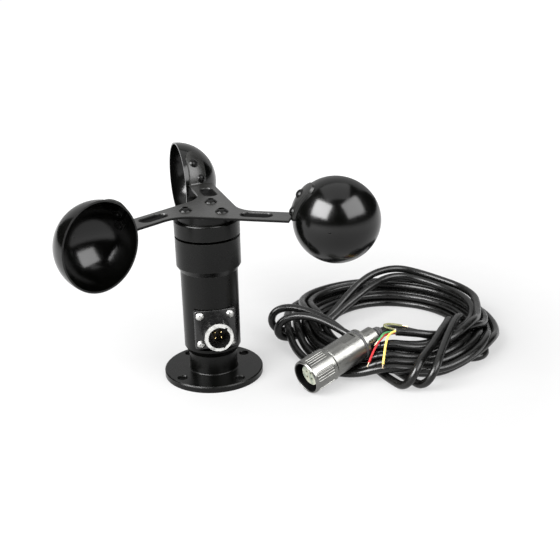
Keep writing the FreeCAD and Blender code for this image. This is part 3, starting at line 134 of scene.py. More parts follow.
class Graph:
    """A material's node tree, with short calls that add nodes and join them."""

    def __init__(self, name: str) -> None:
        """Start an empty material.

        Args:
            name: The material's name.
        """
        self.material = bpy.data.materials.new(name)
        self.material.use_nodes = True
        self.tree = self.material.node_tree
        self.tree.nodes.clear()
        self.spot = self.node("ShaderNodeTexCoord").outputs["Object"]

    def node(self, kind: str, **settings: object) -> bpy.types.Node:
        """Add a node.

        Args:
            kind: The name of the node's type.
            settings: Attributes to set on it.

        Returns:
            The node.
        """
        made = self.tree.nodes.new(kind)
        for name, value in settings.items():
            setattr(made, name, value)
        return made

    def join(self, source: bpy.types.NodeSocket, target: bpy.types.NodeSocket) -> None:
        """Link one socket into another."""
        self.tree.links.new(source, target)

    def place(self, scale: Point, turn: Point) -> bpy.types.NodeSocket:
        """Object coordinates, turned and stretched.

        Args:
            scale: The stretch along each axis.
            turn: The turn in degrees.

        Returns:
            The mapped vector.
        """
        mapping = self.node("ShaderNodeMapping")
        mapping.inputs["Rotation"].default_value = [math.radians(angle) for angle in turn]
        mapping.inputs["Scale"].default_value = scale
        self.join(self.spot, mapping.inputs["Vector"])
        return mapping.outputs["Vector"]

    def noise(self, scale: float, detail: float = 3.0, rough: float = 0.5,
              vector: bpy.types.NodeSocket | None = None) -> bpy.types.NodeSocket:
        """Fractal noise.

        Args:
            scale: Its scale per metre.
            detail: How many finer layers it has.
            rough: How strong the finer layers are.
            vector: Where it is read; plain object coordinates if left out.

        Returns:
            Its value.
        """
        noise = self.node("ShaderNodeTexNoise")
        noise.inputs["Scale"].default_value = scale
        noise.inputs["Detail"].default_value = detail
        noise.inputs["Roughness"].default_value = rough
        self.join(vector or self.spot, noise.inputs["Vector"])
        return noise.outputs["Fac"]

    def span(self, value: bpy.types.NodeSocket, start: float, stop: float,
             low: float = 0.0, high: float = 1.0) -> bpy.types.NodeSocket:
        """Map a value from one range to another, held at the ends."""
        mapped = self.node("ShaderNodeMapRange")
        ends = {"From Min": start, "From Max": stop, "To Min": low, "To Max": high}
        for name, number in ends.items():
            mapped.inputs[name].default_value = number
        self.join(value, mapped.inputs["Value"])
        return mapped.outputs["Result"]

    def combine(self, rule: Rule, first: bpy.types.NodeSocket,
                second: bpy.types.NodeSocket | float) -> bpy.types.NodeSocket:
        """Two values put together by that rule."""
        result = self.node("ShaderNodeMath", operation=rule.value)
        self.join(first, result.inputs[0])
        if isinstance(second, (int, float)):
            result.inputs[1].default_value = second
        else:
            self.join(second, result.inputs[1])
        return result.outputs["Value"]

    def blend(self, share: bpy.types.NodeSocket, first: Colour | bpy.types.NodeSocket,
              second: Colour | bpy.types.NodeSocket) -> bpy.types.NodeSocket:
        """Mix two colours.

        Args:
            share: How much of the second.
            first: A colour or a socket.
            second: A colour or a socket.

        Returns:
            The mixed colour.
        """
        mixed = self.node("ShaderNodeMix", data_type="RGBA")
        amount, start, stop = (mixed.inputs[slot] for slot in (0, 6, 7))  # its colour sockets
        self.join(share, amount)
        for value, target in ((first, start), (second, stop)):
            if isinstance(value, tuple):
                target.default_value = (*value, 1.0)
            else:
                self.join(value, target)
        return mixed.outputs[2]

    def worn_edge(self, width: float) -> bpy.types.NodeSocket:
        """How near a sharp outer or inner edge a point lies.

        Args:
            width: The width of the band in metres.

        Returns:
            1 on the edge and 0 away from it.
        """
        bevel = self.node("ShaderNodeBevel", samples=4)
        bevel.inputs["Radius"].default_value = width
        facing = self.node("ShaderNodeNewGeometry")
        dot = self.node("ShaderNodeVectorMath", operation="DOT_PRODUCT")
        self.join(bevel.outputs["Normal"], dot.inputs[0])
        self.join(facing.outputs["Normal"], dot.inputs[1])
        level, folded = 0.995, 0.90
        return self.span(dot.outputs["Value"], level, folded)

    def from_start(self, axis: Axis) -> bpy.types.NodeSocket:
        """The step from an axis's start to a point, in metres."""
        shifted = self.node("ShaderNodeVectorMath", operation="SUBTRACT")
        self.join(self.spot, shifted.inputs[0])
        shifted.inputs[1].default_value = axis.start
        return shifted.outputs["Vector"]

    def along(self, axis: Axis) -> bpy.types.NodeSocket:
        """How far along an axis a point lies, in metres from the axis's start."""
        dot = self.node("ShaderNodeVectorMath", operation="DOT_PRODUCT")
        self.join(self.from_start(axis), dot.inputs[0])
        dot.inputs[1].default_value = axis.way
        return dot.outputs["Value"]

    def out_from(self, axis: Axis) -> bpy.types.NodeSocket:
        """How far out from an axis a point lies, in metres."""
        crossed = self.node("ShaderNodeVectorMath", operation="CROSS_PRODUCT")
        self.join(self.from_start(axis), crossed.inputs[0])
        crossed.inputs[1].default_value = axis.way
        length = self.node("ShaderNodeVectorMath", operation="LENGTH")
        self.join(crossed.outputs["Vector"], length.inputs[0])
        return length.outputs["Value"]

    def bump(self, height: bpy.types.NodeSocket, depth: float,
             strength: float) -> bpy.types.NodeSocket:
        """A bumped normal.

        Args:
            height: The height from 0 to 1.
            depth: What a height of 1 is, in metres.
            strength: The bump node's strength.

        Returns:
            The normal.
        """
        bump = self.node("ShaderNodeBump")
        bump.inputs["Strength"].default_value = strength
        bump.inputs["Distance"].default_value = depth
        self.join(height, bump.inputs["Height"])
        return bump.outputs["Normal"]

    def surface(self, color: bpy.types.NodeSocket, rough: bpy.types.NodeSocket,
                normal: bpy.types.NodeSocket | None = None,
                **numbers: float | bpy.types.NodeSocket) -> bpy.types.Material:
        """Finish the material with one Principled shader.

        Args:
            color: The base colour.
            rough: The roughness.
            normal: The bumped normal, if there is one.
            numbers: Values or sockets for other inputs, named with underscores for spaces.

        Returns:
            The material.
        """
        shader = self.node("ShaderNodeBsdfPrincipled")
        self.join(color, shader.inputs["Base Color"])
        self.join(rough, shader.inputs["Roughness"])
        if normal is not None:
            self.join(normal, shader.inputs["Normal"])
        for name, number in numbers.items():
            target = shader.inputs[name.replace("_", " ")]
            if isinstance(number, (int, float)):
                target.default_value = number
            else:
                self.join(number, target)
        output = self.node("ShaderNodeOutputMaterial")
        self.join(shader.outputs["BSDF"], output.inputs["Surface"])
        return self.material


@dataclass(frozen=True)
class GlossPaint:
    """Black gloss paint: a faint orange peel, settled dust, smeared patches and rubbed edges."""

    name: str
    deep: Colour = (0.0003, 0.00034, 0.00026)
    faded: Colour = (0.0009, 0.00095, 0.0008)
    edge: Colour = (0.020, 0.020, 0.019)
    dust: Colour = (0.007, 0.007, 0.0065)
    rubbed: float = 0.0003
    gloss: float = 0.25
    peel: float = 1.6e-5
    index: float = 1.28

    def material(self) -> bpy.types.Material:
        """Build the material."""
        graph = Graph(self.name)
        cloud = graph.noise(38, 4)
        colour = graph.blend(graph.span(cloud, 0.35, 0.7), self.deep, self.faded)
        dust = graph.span(graph.noise(2600, 1), 0.70, 0.78, 0.0, 0.35)
        colour = graph.blend(dust, colour, self.dust)
        rub = graph.combine(Rule.TIMES, graph.worn_edge(self.rubbed),
                            graph.span(graph.noise(420, 3), 0.38, 0.62))
        colour = graph.blend(rub, colour, self.edge)
        smear = graph.span(graph.noise(150, 4, 0.6), 0.45, 0.75, 0.0, 0.04)
        rough = graph.span(cloud, 0.3, 0.75, self.gloss, self.gloss + 0.05)
        rough = graph.combine(Rule.ADD, rough, smear)
        normal = graph.bump(graph.noise(620, 2, 0.45), self.peel, 0.6)
        return graph.surface(colour, rough, normal, IOR=self.index)


@dataclass(frozen=True)
class SatinPaint:
    """Black satin paint on sheet metal: rolling lines, paler edges, and painted shade in the
    pressed hollows and wherever the surface lies lower than the top face.
    """

    name: str
    deep: Colour = (0.004, 0.004, 0.0037)
    faded: Colour = (0.009, 0.009, 0.0083)
    edge: Colour = (0.05, 0.05, 0.05)
    # colour of the painted shade on every surface lower than the plate's top face
    hollow_shade: Colour = (0.0006, 0.0006, 0.0006)
    rubbed: float = 0.00025
    gloss: float = 0.30
    face: float = 0.1053

    def material(self) -> bpy.types.Material:
        """Build the material."""
        graph = Graph(self.name)
        cloud = graph.noise(30, 5)
        colour = graph.blend(graph.span(cloud, 0.3, 0.7), self.deep, self.faded)
        rub = graph.combine(Rule.TIMES, graph.worn_edge(self.rubbed), 0.2)
        colour = graph.blend(rub, colour, self.edge)
        # painted shade: lower than the top face, in the pressed hollows, on the edges and
        # underneath, the colour turns to the shade colour and the shine drops
        height = graph.along(ROTOR_AXIS)
        shade_below_face = graph.span(height, self.face - 0.0007, self.face - 0.0001, 1.0, 0.0)
        colour = graph.blend(shade_below_face, colour, self.hollow_shade)
        lines = graph.noise(160, 3, 0.6, graph.place((1, 14, 1), turn=(0, 0, 30)))
        rough = graph.span(lines, 0.3, 0.7, self.gloss - 0.05, self.gloss + 0.07)
        shine = graph.span(shade_below_face, 0.0, 1.0, 0.5, 0.12)
        return graph.surface(colour, rough, graph.bump(lines, 6e-6, 0.5), IOR=1.45,
                             Specular_IOR_Level=shine)


@dataclass(frozen=True)
class BareMetal:
    """Bare or plated metal: turning lines, fine scratches, dull patches, brighter edges and, where
    asked for, painted shade inside a hole.
    """

    name: str
    bright: Colour = (0.20, 0.20, 0.19)
    dull: Colour = (0.145, 0.145, 0.137)
    gloss: float = 0.28
    grain: Point = (1, 1, 18)
    turn: Point = (0, 0, 0)
    rubbed: float = 0.00025
    # colour of the painted shade inside the hole round the given axis
    bore_shade: Colour = (0.012, 0.012, 0.012)
    # axis and radius in metres of the hole that is filled with painted shade
    inside: tuple[Axis, float] | None = None

    def material(self) -> bpy.types.Material:
        """Build the material."""
        graph = Graph(self.name)
        cloud = graph.noise(90, 3, 0.5)
        colour = graph.blend(graph.span(cloud, 0.36, 0.68), self.bright, self.dull)
        lines = graph.noise(420, 3, 0.65, graph.place(self.grain, turn=self.turn))
        colour = graph.blend(graph.span(lines, 0.58, 0.72, 0.0, 0.3), colour, self.dull)
        lift = tuple(min(0.95, channel * 1.5) for channel in self.bright)
        rub = graph.combine(Rule.TIMES, graph.worn_edge(self.rubbed), 0.7)
        colour = graph.blend(rub, colour, lift)
        rough = graph.combine(Rule.ADD,
                              graph.span(lines, 0.3, 0.7, self.gloss - 0.05, self.gloss + 0.06),
                              graph.span(cloud, 0.45, 0.75, 0.0, 0.08))
        if self.inside:
            # painted shade: within that radius of the axis, inside the hole, the colour darkens
            # and roughens
            axis, radius = self.inside
            hollow_shade = graph.span(graph.out_from(axis), radius, radius + 0.00015, 1.0, 0.0)
            colour = graph.blend(hollow_shade, colour, self.bore_shade)
            rough = graph.combine(Rule.ADD, rough, graph.combine(Rule.TIMES, hollow_shade, 0.25))
        return graph.surface(colour, rough, graph.bump(lines, 4e-6, 0.5), Metallic=1.0, IOR=2.2)


@dataclass(frozen=True)
class DarkMetal:
    """Black plating over metal, rubbed through to bright metal along its edges."""

    name: str
    plate: Colour = (0.004, 0.004, 0.004)
    worn: Colour = (0.30, 0.30, 0.29)
    gloss: float = 0.24
    band: float = 0.00035
    amount: float = 0.8
    barrel: float = 0.0096
    mouth: float = 0.0273
    ring: float = 0.0066

    def material(self) -> bpy.types.Material:
        """Build the material."""
        graph = Graph(self.name)
        cloud = graph.noise(140, 4)
        faded = tuple(2.2 * tone for tone in self.plate)
        colour = graph.blend(graph.span(cloud, 0.35, 0.7), self.plate, faded)
        out = graph.out_from(SOCKET_AXIS)
        rub = graph.combine(Rule.TIMES, graph.worn_edge(self.band),
                            graph.span(graph.noise(260, 4), 0.30, 0.52, 0.25, self.amount))
        rub = graph.combine(Rule.TIMES, rub, graph.span(out, self.barrel, self.barrel + 0.0008))
        far = graph.along(SOCKET_AXIS)
        lip = graph.combine(Rule.TIMES, graph.span(far, self.mouth - 0.0001, self.mouth + 0.0001),
                            graph.span(graph.noise(500, 4), 0.28, 0.50, 0.35, 1.0))
        lip = graph.combine(Rule.TIMES, lip, graph.span(out, self.ring - 0.0002, self.ring))
        colour = graph.blend(graph.combine(Rule.LARGER, rub, lip), colour, self.worn)
        rough = graph.span(graph.noise(700, 3), 0.3, 0.7, self.gloss - 0.05, self.gloss + 0.08)
        return graph.surface(colour, rough, graph.bump(graph.noise(900, 2), 8e-6, 0.5), IOR=1.5)


@dataclass(frozen=True)
class Moulded:
    """Moulded plastic or rubber: a fine mould grain, cloudy shade and a little bloom."""

    name: str
    tone: Colour
    shade: Colour
    gloss: float = 0.42
    grain: float = 1800
    depth: float = 1.5e-5
    sheen: float = 0.0
    mottle: float = 120

    def material(self) -> bpy.types.Material:
        """Build the material."""
        graph = Graph(self.name)
        cloud = graph.noise(self.mottle, 4, 0.55)
        colour = graph.blend(graph.span(cloud, 0.36, 0.66), self.tone, self.shade)
        speck = graph.span(graph.noise(self.grain * 1.4, 1), 0.68, 0.78, 0.0, 0.25)
        bloom = tuple(min(0.9, tone * 1.6 + 0.02) for tone in self.tone)
        colour = graph.blend(speck, colour, bloom)
        rough = graph.span(graph.noise(self.grain * 0.35, 3), 0.3, 0.7,
                           self.gloss - 0.06, self.gloss + 0.08)
        normal = graph.bump(graph.noise(self.grain, 2), self.depth, 0.6)
        return graph.surface(colour, rough, normal, IOR=1.5, Sheen_Weight=self.sheen)


@dataclass(frozen=True)
class CableJacket:
    """Soft black cable jacket: smooth extruded skin with faint draw lines and handling marks."""

    name: str
    deep: Colour = (0.0012, 0.0012, 0.0011)
    chalk: Colour = (0.0034, 0.0034, 0.0032)
    dust: Colour = (0.014, 0.014, 0.0135)
    gloss: float = 0.27

    def material(self) -> bpy.types.Material:
        """Build the material."""
        graph = Graph(self.name)
        cloud = graph.noise(75, 5, 0.6)
        colour = graph.blend(graph.span(cloud, 0.42, 0.74), self.deep, self.chalk)
        speck = graph.span(graph.noise(1500, 1), 0.70, 0.80, 0.0, 0.35)
        colour = graph.blend(speck, colour, self.dust)
        rough = graph.span(graph.noise(210, 4), 0.3, 0.7, self.gloss - 0.07, self.gloss + 0.10)
        height = graph.combine(Rule.ADD, graph.noise(700, 2), graph.noise(240, 2))
        return graph.surface(colour, rough, graph.bump(height, 9e-6, 0.5), IOR=1.40)


@dataclass(frozen=True)
class CoreCover:
    """Coloured insulation on a thin wire core, a little darker where it was squeezed."""

    name: str
    tone: Colour
    shade: Colour

    def material(self) -> bpy.types.Material:
        """Build the material."""
        graph = Graph(self.name)
        colour = graph.blend(graph.span(graph.noise(520, 3), 0.38, 0.68), self.tone, self.shade)
        rough = graph.span(graph.noise(1400, 2), 0.3, 0.7, 0.30, 0.42)
        normal = graph.bump(graph.noise(2200, 2), 1.2e-5, 0.5)
        return graph.surface(colour, rough, normal, IOR=1.5, Subsurface_Weight=0.12,
                             Subsurface_Scale=0.0006)


# ---------------------------------------------------------------- the studio


@dataclass
class Studio:
    """A pale floor, two soft boxes in front, a wide one behind and one above."""

    floor_tone: Colour = (0.13, 0.13, 0.13)
    floor_size: float = 14.0
    floor_height: float = -0.00002
    glow_axis: Axis = Axis((0.08, 0.0, 0.0), (0.0, 0.0, 1.0))
    glow_start: float = 0.12
    glow_stop: float = 0.55
    glow_near: float = 0.50
    glow_far: float = 1.0
    room_light: float = 0.02
    room_seen: float = 1.0
    target: Vector = field(default_factory=lambda: Vector((0.045, 0.0, 0.06)))

    def build(self) -> None:
        """Make the floor, the lights and the surround."""
        self.floor()
        self.surround()
        bpy.context.scene.view_settings.view_transform = "Standard"
        self.soft_box("left_box", azimuth=-146, height=36, away=1.25,
                      wide=1.05, tall=0.85, radiance=26.0)
        self.soft_box("right_box", azimuth=-42, height=38, away=1.25,
                      wide=1.15, tall=0.90, radiance=9.0)
        self.soft_box("back_box", azimuth=88, height=30, away=2.4,
                      wide=4.6, tall=2.4, radiance=0.72)
        self.soft_box("top_box", azimuth=90, height=86, away=1.5,
                      wide=1.5, tall=1.5, radiance=1.5)

    def floor(self) -> None:
        """Lay a wide, faintly mottled pale floor that glows more the further out it lies."""
        bpy.ops.object.select_all(action="DESELECT")
        bpy.ops.mesh.primitive_plane_add(size=self.floor_size, location=(0, 0, self.floor_height))
        floor = bpy.context.active_object
        floor.name = "studio_floor"
        graph = Graph("studio_paper")
        duller = tuple(0.97 * tone for tone in self.floor_tone)
        colour = graph.blend(graph.noise(3, 3), self.floor_tone, duller)
        rough = graph.span(graph.noise(60, 3), 0.3, 0.7, 0.62, 0.72)
        wear(floor, graph.surface(colour, rough, IOR=1.3))
        shader = next(node for node in graph.tree.nodes if node.type == "BSDF_PRINCIPLED")
        shader.inputs["Emission Color"].default_value = (1.0, 1.0, 1.0, 1.0)
        glow = graph.span(graph.out_from(self.glow_axis), self.glow_start, self.glow_stop,
                          self.glow_near, self.glow_far)
        graph.join(glow, shader.inputs["Emission Strength"])

    def surround(self) -> None:
        """Make the room look white, though it lights the object only faintly."""
        world = bpy.data.worlds.new("studio_room")
        bpy.context.scene.world = world
        world.use_nodes = True
        ground = world.node_tree.nodes["Background"]
        ground.inputs["Color"].default_value = (1.0, 1.0, 1.0, 1.0)
        seen = world.node_tree.nodes.new("ShaderNodeLightPath").outputs["Is Camera Ray"]
        strength = world.node_tree.nodes.new("ShaderNodeMapRange")
        strength.inputs["To Min"].default_value = self.room_light
        strength.inputs["To Max"].default_value = self.room_seen
        world.node_tree.links.new(seen, strength.inputs["Value"])
        world.node_tree.links.new(strength.outputs["Result"], ground.inputs["Strength"])

    def soft_box(self, name: str, azimuth: float, height: float, away: float,
                 wide: float, tall: float, radiance: float) -> None:
        """Hang one soft box that faces the object.

        Args:
            name: The light's name.
            azimuth: Where it hangs round the object, in degrees.
            height: How high it hangs, in degrees.
            away: Its distance in metres.
            wide: Its width in metres.
            tall: Its height in metres.
            radiance: How bright its face is.
        """
        light = bpy.data.lights.new(name, "AREA")
        light.shape = "RECTANGLE"
        light.size, light.size_y = wide, tall
        light.energy = radiance * math.pi * wide * tall
        lamp = bpy.data.objects.new(name, light)
        bpy.context.scene.collection.objects.link(lamp)
        turn, rise = math.radians(azimuth), math.radians(height)
        ray = Vector((math.cos(rise) * math.cos(turn), math.cos(rise) * math.sin(turn),
                      math.sin(rise)))
        lamp.location = self.target + away * ray
        lamp.rotation_euler = (-ray).to_track_quat("-Z", "Y").to_euler()
        lamp.visible_camera = False


@dataclass
class PictureCamera:
    """The camera, in front of the sensor, looking down and slightly towards the cable."""

    film_width: float = 36.0
    back: float = 0.52831
    height: float = 0.26266
    heading: float = 4.190
    dip: float = 22.063
    roll: float = -1.405
    lens: float = 60.52
    shift_x: float = 0.00986
    shift_y: float = 0.02818

    def build(self) -> None:
        """Place the camera and make it the scene's own."""
        data = bpy.data.cameras.new("picture_camera")
        data.sensor_width, data.lens = self.film_width, self.lens
        data.shift_x, data.shift_y = self.shift_x, self.shift_y
        data.clip_start, data.clip_end = 0.01, 50.0
        turn, dip, roll = map(math.radians, (self.heading, self.dip, self.roll))
        ahead = Vector((math.sin(turn) * math.cos(dip), math.cos(turn) * math.cos(dip),
                        -math.sin(dip)))
        level = Vector((math.cos(turn), -math.sin(turn), 0))
        upright = level.cross(ahead)
        across = math.cos(roll) * level + math.sin(roll) * upright
        above = math.cos(roll) * upright - math.sin(roll) * level
        camera = bpy.data.objects.new("picture_camera", data)
        bpy.context.scene.collection.objects.link(camera)
        axes = Matrix((across, above, -ahead)).transposed().to_4x4()
        camera.matrix_world = Matrix.Translation((0, -self.back, self.height)) @ axes
        bpy.context.scene.camera = camera


# ---------------------------------------------------------------- the cable


@dataclass
class SignalCable:
    """The signal cable: one cord from the plug through a loose, bound coil to its stripped end.

    Its sizes and points are in millimetres and its angles in degrees.
    """

    thick: float = 5.0
    core_thick: float = 1.4
    centre: Spot = (119.0, 35.0)
    turns: int = 10
    points_per_turn: int = 24
    step_start: float = 300.0
    step_reach: float = 45.0
    waver: float = 0.55
    raised: float = 5.0
    crossings: tuple[Spot, ...] = ((169.0, 25.0), (256.0, 19.0), (318.0, 27.0))
    cut_from: Point = (126.0, -7.4, 21.8)
    filler_radius: float = 1.85
    filler_deep: float = 1.2
    filler_edge: float = 0.25
    strands: int = 5
    strand_thick: float = 0.34
    strand_points: int = 9
    sleeve_start: float = 54.6
    sleeve_steps: tuple[float, float] = (0.9, 0.15)
    sleeve: tuple[float, ...] = (4.3, 4.3, 3.7, 3.7, 4.1, 4.1, 3.5, 3.5, 3.8, 3.7, 3.1, 3.0)
    lead: list[Point] = field(default_factory=lambda: [
        (92.38, -12.13, 20.30), (103.86, -4.67, 23.21), (115.0, 4.0, 20.0), (127.5, 8.0, 14.6),
        (140.0, 8.5, 11.0), (152.0, 12.5, 8.8), (161.0, 22.0, 6.6), (166.5, 32.0, 4.2)])
    out_bound: list[Point] = field(default_factory=lambda: [
        (179.0, 46.0, 16.8), (180.0, 60.0, 17.2), (173.6, 74.0, 18.2), (162.6, 83.6, 20.0),
        (149.0, 92.4, 22.8), (134.2, 96.6, 25.6), (117.5, 89.4, 25.8), (105.0, 81.0, 22.0),
        (92.8, 70.0, 15.0), (82.0, 59.0, 8.6), (73.0, 52.5, 3.8), (62.0, 49.0, 2.5),
        (52.0, 48.0, 2.5), (43.6, 47.8, 3.6), (39.2, 46.8, 10.2), (41.0, 45.6, 17.8),
        (48.6, 44.2, 21.6), (59.0, 41.0, 21.2), (70.0, 33.4, 19.0), (79.0, 21.6, 16.8),
        (87.2, 7.0, 13.2), (93.0, -4.6, 8.0), (97.6, -14.0, 3.8), (102.0, -24.0, 2.5),
        (106.2, -33.4, 2.5), (109.8, -41.0, 2.9), (113.2, -45.4, 7.4), (116.6, -45.2, 13.8),
        (120.2, -40.6, 18.2), (125.0, -32.4, 19.0), (131.4, -22.6, 19.4), (137.4, -12.4, 20.4),
        (143.0, -2.6, 21.2), (147.8, 5.6, 21.2), (150.6, 12.2, 21.0), (152.6, 17.4, 15.8),
        (152.8, 17.6, 8.2), (151.2, 12.6, 2.9), (150.2, 4.4, 2.5), (152.6, -3.8, 2.5)])
    back_bound: list[Point] = field(default_factory=lambda: [
        (160.0, -8.6, 2.5), (168.4, -6.6, 2.5), (172.8, 1.0, 2.5), (172.0, 10.4, 2.5),
        (168.8, 17.6, 3.4), (165.6, 22.6, 8.8), (162.6, 22.4, 15.8), (158.8, 16.8, 20.8),
        (153.4, 7.6, 21.9), (147.0, -5.6, 21.4), (140.6, -18.6, 20.0), (134.8, -31.6, 18.8),
        (131.0, -40.4, 17.8), (127.6, -45.4, 13.6), (124.2, -45.6, 7.4), (120.8, -41.2, 2.9),
        (117.4, -34.0, 2.5), (111.6, -22.0, 2.5), (104.6, -9.6, 3.8), (97.4, 0.6, 8.2),
        (91.0, 6.0, 12.6), (84.0, 10.6, 15.8), (76.0, 18.0, 18.6), (67.0, 25.0, 20.8),
        (56.8, 29.4, 21.4), (48.2, 30.8, 19.4), (42.6, 31.6, 13.8), (42.8, 33.0, 7.0),
        (48.0, 35.8, 2.9), (56.0, 39.6, 2.5), (64.0, 43.4, 2.6), (73.0, 48.4, 3.8),
        (82.0, 54.8, 7.0), (91.0, 63.2, 11.0), (101.0, 70.4, 15.0), (112.0, 79.0, 19.2),
        (124.5, 88.4, 21.4), (137.0, 91.6, 21.4), (150.0, 87.0, 19.0), (162.0, 76.6, 17.2),
        (171.0, 62.0, 16.8), (174.4, 48.0, 16.4), (173.6, 37.0, 15.4)])
    tail: list[Point] = field(default_factory=lambda: [
        (169.6, 27.2, 13.6), (161.6, 15.4, 15.0), (152.6, 5.6, 16.0), (143.0, -2.4, 17.0),
        (134.0, -6.6, 19.2), (126.0, -7.4, 21.2), (112.8, -5.6, 22.2)])
    wires: dict[str, list[Point]] = field(default_factory=lambda: {
        "wire_red": [(106.0, -9.6, 23.2), (101.0, -15.4, 21.6), (96.8, -21.2, 18.8),
                     (93.7, -27.2, 16.4), (91.6, -31.6, 14.9)],
        "wire_yellow": [(107.6, -10.8, 23.8), (104.4, -18.0, 21.4), (101.7, -27.0, 18.5),
                        (99.2, -36.0, 15.6)],
        "wire_green": [(106.0, -9.4, 24.2), (102.6, -13.2, 23.4), (99.6, -16.4, 21.4)],
        "wire_brown": [(108.4, -4.6, 24.4), (106.0, -3.2, 25.0), (106.2, -1.6, 25.6),
                       (109.0, -1.4, 25.8), (113.0, -2.8, 25.8), (117.0, -4.4, 25.4)]})
    cores: dict[str, tuple[Finish, Spot]] = field(default_factory=lambda: {
        "wire_red": (Finish.RED, (-0.8, -0.8)), "wire_yellow": (Finish.YELLOW, (-0.8, 0.8)),
        "wire_green": (Finish.GREEN, (0.8, -0.8)), "wire_brown": (Finish.BROWN, (0.8, 0.8))})

    def stations(self) -> dict[int, list[Spot]]:
        """Where each turn lies across the bundle, as radius and height, at angles round the coil.

        The last slot is there only where the last turn steps over to it.
        """
        low, mid, top = 2.5, 7.3, 12.1
        return {
            0: [(49.4, low), (54.8, low), (60.2, low), (65.6, low), (67.8, mid), (62.6, mid),
                (57.4, mid), (52.0, mid), (56.6, top), (62.0, top), (58.0, 16.6)],
            30: [(51.0, low), (56.2, low), (61.4, low), (66.8, low), (68.6, mid), (63.4, mid),
                 (58.2, mid), (53.2, mid), (58.4, top), (63.8, top)],
            55: [(52.8, low), (58.0, low), (63.2, low), (68.2, low), (69.4, 8.0), (64.2, mid),
                 (59.0, mid), (54.6, mid), (60.4, 12.6), (65.8, 13.0)],
            95: [(53.4, low), (58.6, low), (63.8, low), (69.4, 3.4), (72.4, 8.6), (66.0, 8.4),
                 (60.4, 8.2), (54.8, 7.8), (61.6, 13.6), (67.6, 13.8)],
            140: [(48.6, low), (55.4, low), (62.2, low), (69.0, low), (73.6, 8.4), (66.8, 8.8),
                  (60.0, 8.6), (53.4, 8.4), (62.6, 14.0), (69.6, 14.2)],
            180: [(44.4, low), (50.8, low), (57.2, low), (63.6, low), (69.0, 6.6), (63.4, 8.4),
                  (57.4, 8.2), (50.8, 7.8), (47.0, 12.2), (54.4, 12.8)],
            212: [(43.2, low), (48.6, low), (54.0, low), (59.4, low), (69.8, low), (64.6, 3.0),
                  (56.4, 7.2), (50.8, 7.4), (45.6, 7.6), (52.4, 11.8)],
            232: [(44.6, low), (49.9, low), (55.2, low), (60.4, low), (70.2, low), (65.3, low),
                  (57.6, 7.2), (52.4, 7.2), (47.2, 7.2), (51.8, 11.8)],
            262: [(43.6, low), (49.8, low), (56.0, low), (62.4, 2.6), (67.6, 6.6), (62.0, 8.4),
                  (56.0, 9.4), (50.0, 9.0), (45.2, 12.4), (51.4, 14.0)],
            285: [(43.6, low), (50.2, low), (56.8, low), (63.4, 2.6), (68.0, 6.8), (62.4, 8.8),
                  (56.4, 9.8), (49.8, 9.4), (45.4, 13.8), (52.0, 14.8), (48.0, 18.0)],
            312: [(45.0, low), (51.4, low), (57.8, low), (64.2, 2.6), (67.6, 7.0), (61.8, 8.0),
                  (56.0, 8.6), (50.2, 8.8), (47.0, 13.4), (53.4, 14.0), (50.0, 18.0)],
            345: [(47.0, low), (52.8, low), (58.8, low), (64.8, 2.6), (67.6, 7.2), (62.2, 7.4),
                  (56.8, 7.5), (51.2, 7.6), (53.4, 12.4), (59.4, 12.6), (55.0, 17.0)],
        }

    def lift(self, angle: float) -> float:
        """How far the bundle is raised where the binding strands pass under it, in millimetres."""
        rise = 0.0
        for middle, reach in self.crossings:
            gap = abs((angle - middle + 180) % 360 - 180)
            rise = max(rise, self.raised * smooth((reach - gap) / (0.6 * reach)))
        return rise

    def slot_spot(self, slot: int, angle: float) -> Spot:
        """A slot's radius and height at an angle, eased between the stations on each side."""
        table = self.stations()
        angles = sorted(table)
        before = max((mark for mark in angles if mark <= angle), default=angles[-1] - 360)
        after = min((mark for mark in angles if mark > angle), default=angles[0] + 360)
        share = (angle - before) / (after - before)
        share = 0.5 * share + 0.5 * smooth(share)
        return between(table[before % 360][slot], table[after % 360][slot], share)

    def wound(self) -> list[Point]:
        """Points of the plain turns, each turn stepping over to the next slot near its end."""
        made = []
        for step in range(1, self.turns * self.points_per_turn):
            turn, part = divmod(step, self.points_per_turn)
            angle = 360.0 * part / self.points_per_turn
            radius, height = self.slot_spot(turn, angle)
            if angle > self.step_start:
                radius, height = between((radius, height), self.slot_spot(turn + 1, angle),
                                         smooth((angle - self.step_start) / self.step_reach))
            round_coil = math.radians(angle)
            sway = math.sin(1.7 * round_coil + 2.1 * turn) * math.sin(0.5 * round_coil)
            radius += self.waver * sway
            made.append((self.centre[0] + radius * math.cos(round_coil),
                         self.centre[1] + radius * math.sin(round_coil),
                         height + self.lift(angle)))
        return made

    def curve(self, name: str, points: list[Vector], thick: float) -> bpy.types.Object:
        """Make a round cord on one smooth open spline.

        Args:
            name: The piece's name.
            points: The spline's control points in metres.
            thick: Its diameter in millimetres.

        Returns:
            The curve.
        """
        line = bpy.data.curves.new(name, "CURVE")
        line.dimensions = "3D"
        line.resolution_u = 8
        line.bevel_depth = thick / 2 * MM
        line.bevel_resolution = 4
        line.use_fill_caps = True
        spline = line.splines.new("NURBS")
        spline.points.add(len(points) - 1)
        for knot, point in zip(spline.points, points):
            knot.co = (*point, 1.0)
        spline.order_u = 3
        spline.use_endpoint_u = True
        cord = bpy.data.objects.new(name, line)
        bpy.context.scene.collection.objects.link(cord)
        return cord

    def length(self, points: list[Vector]) -> float:
        """The length of the smooth line through those control points, near enough, in metres."""
        middles = [(first + second) / 2 for first, second in zip(points, points[1:])]
        return sum((second - first).length for first, second in zip(middles, middles[1:]))

    def cut_way(self) -> Vector:
        """The direction that the jacket's cut end points in."""
        return (Vector(self.tail[-1]) - Vector(self.cut_from)).normalized()

    def wire_start(self, side: float, level: float) -> Point:
        """Where a core leaves the jacket's cut end.

        Args:
            side: Its offset to the left of the jacket's line in millimetres.
            level: Its offset upwards in millimetres.

        Returns:
            The point in millimetres.
        """
        way = self.cut_way()
        left = way.cross(Vector((0, 0, 1))).normalized()
        above = left.cross(way)
        return tuple(Vector(self.tail[-1]) + side * left + level * above)

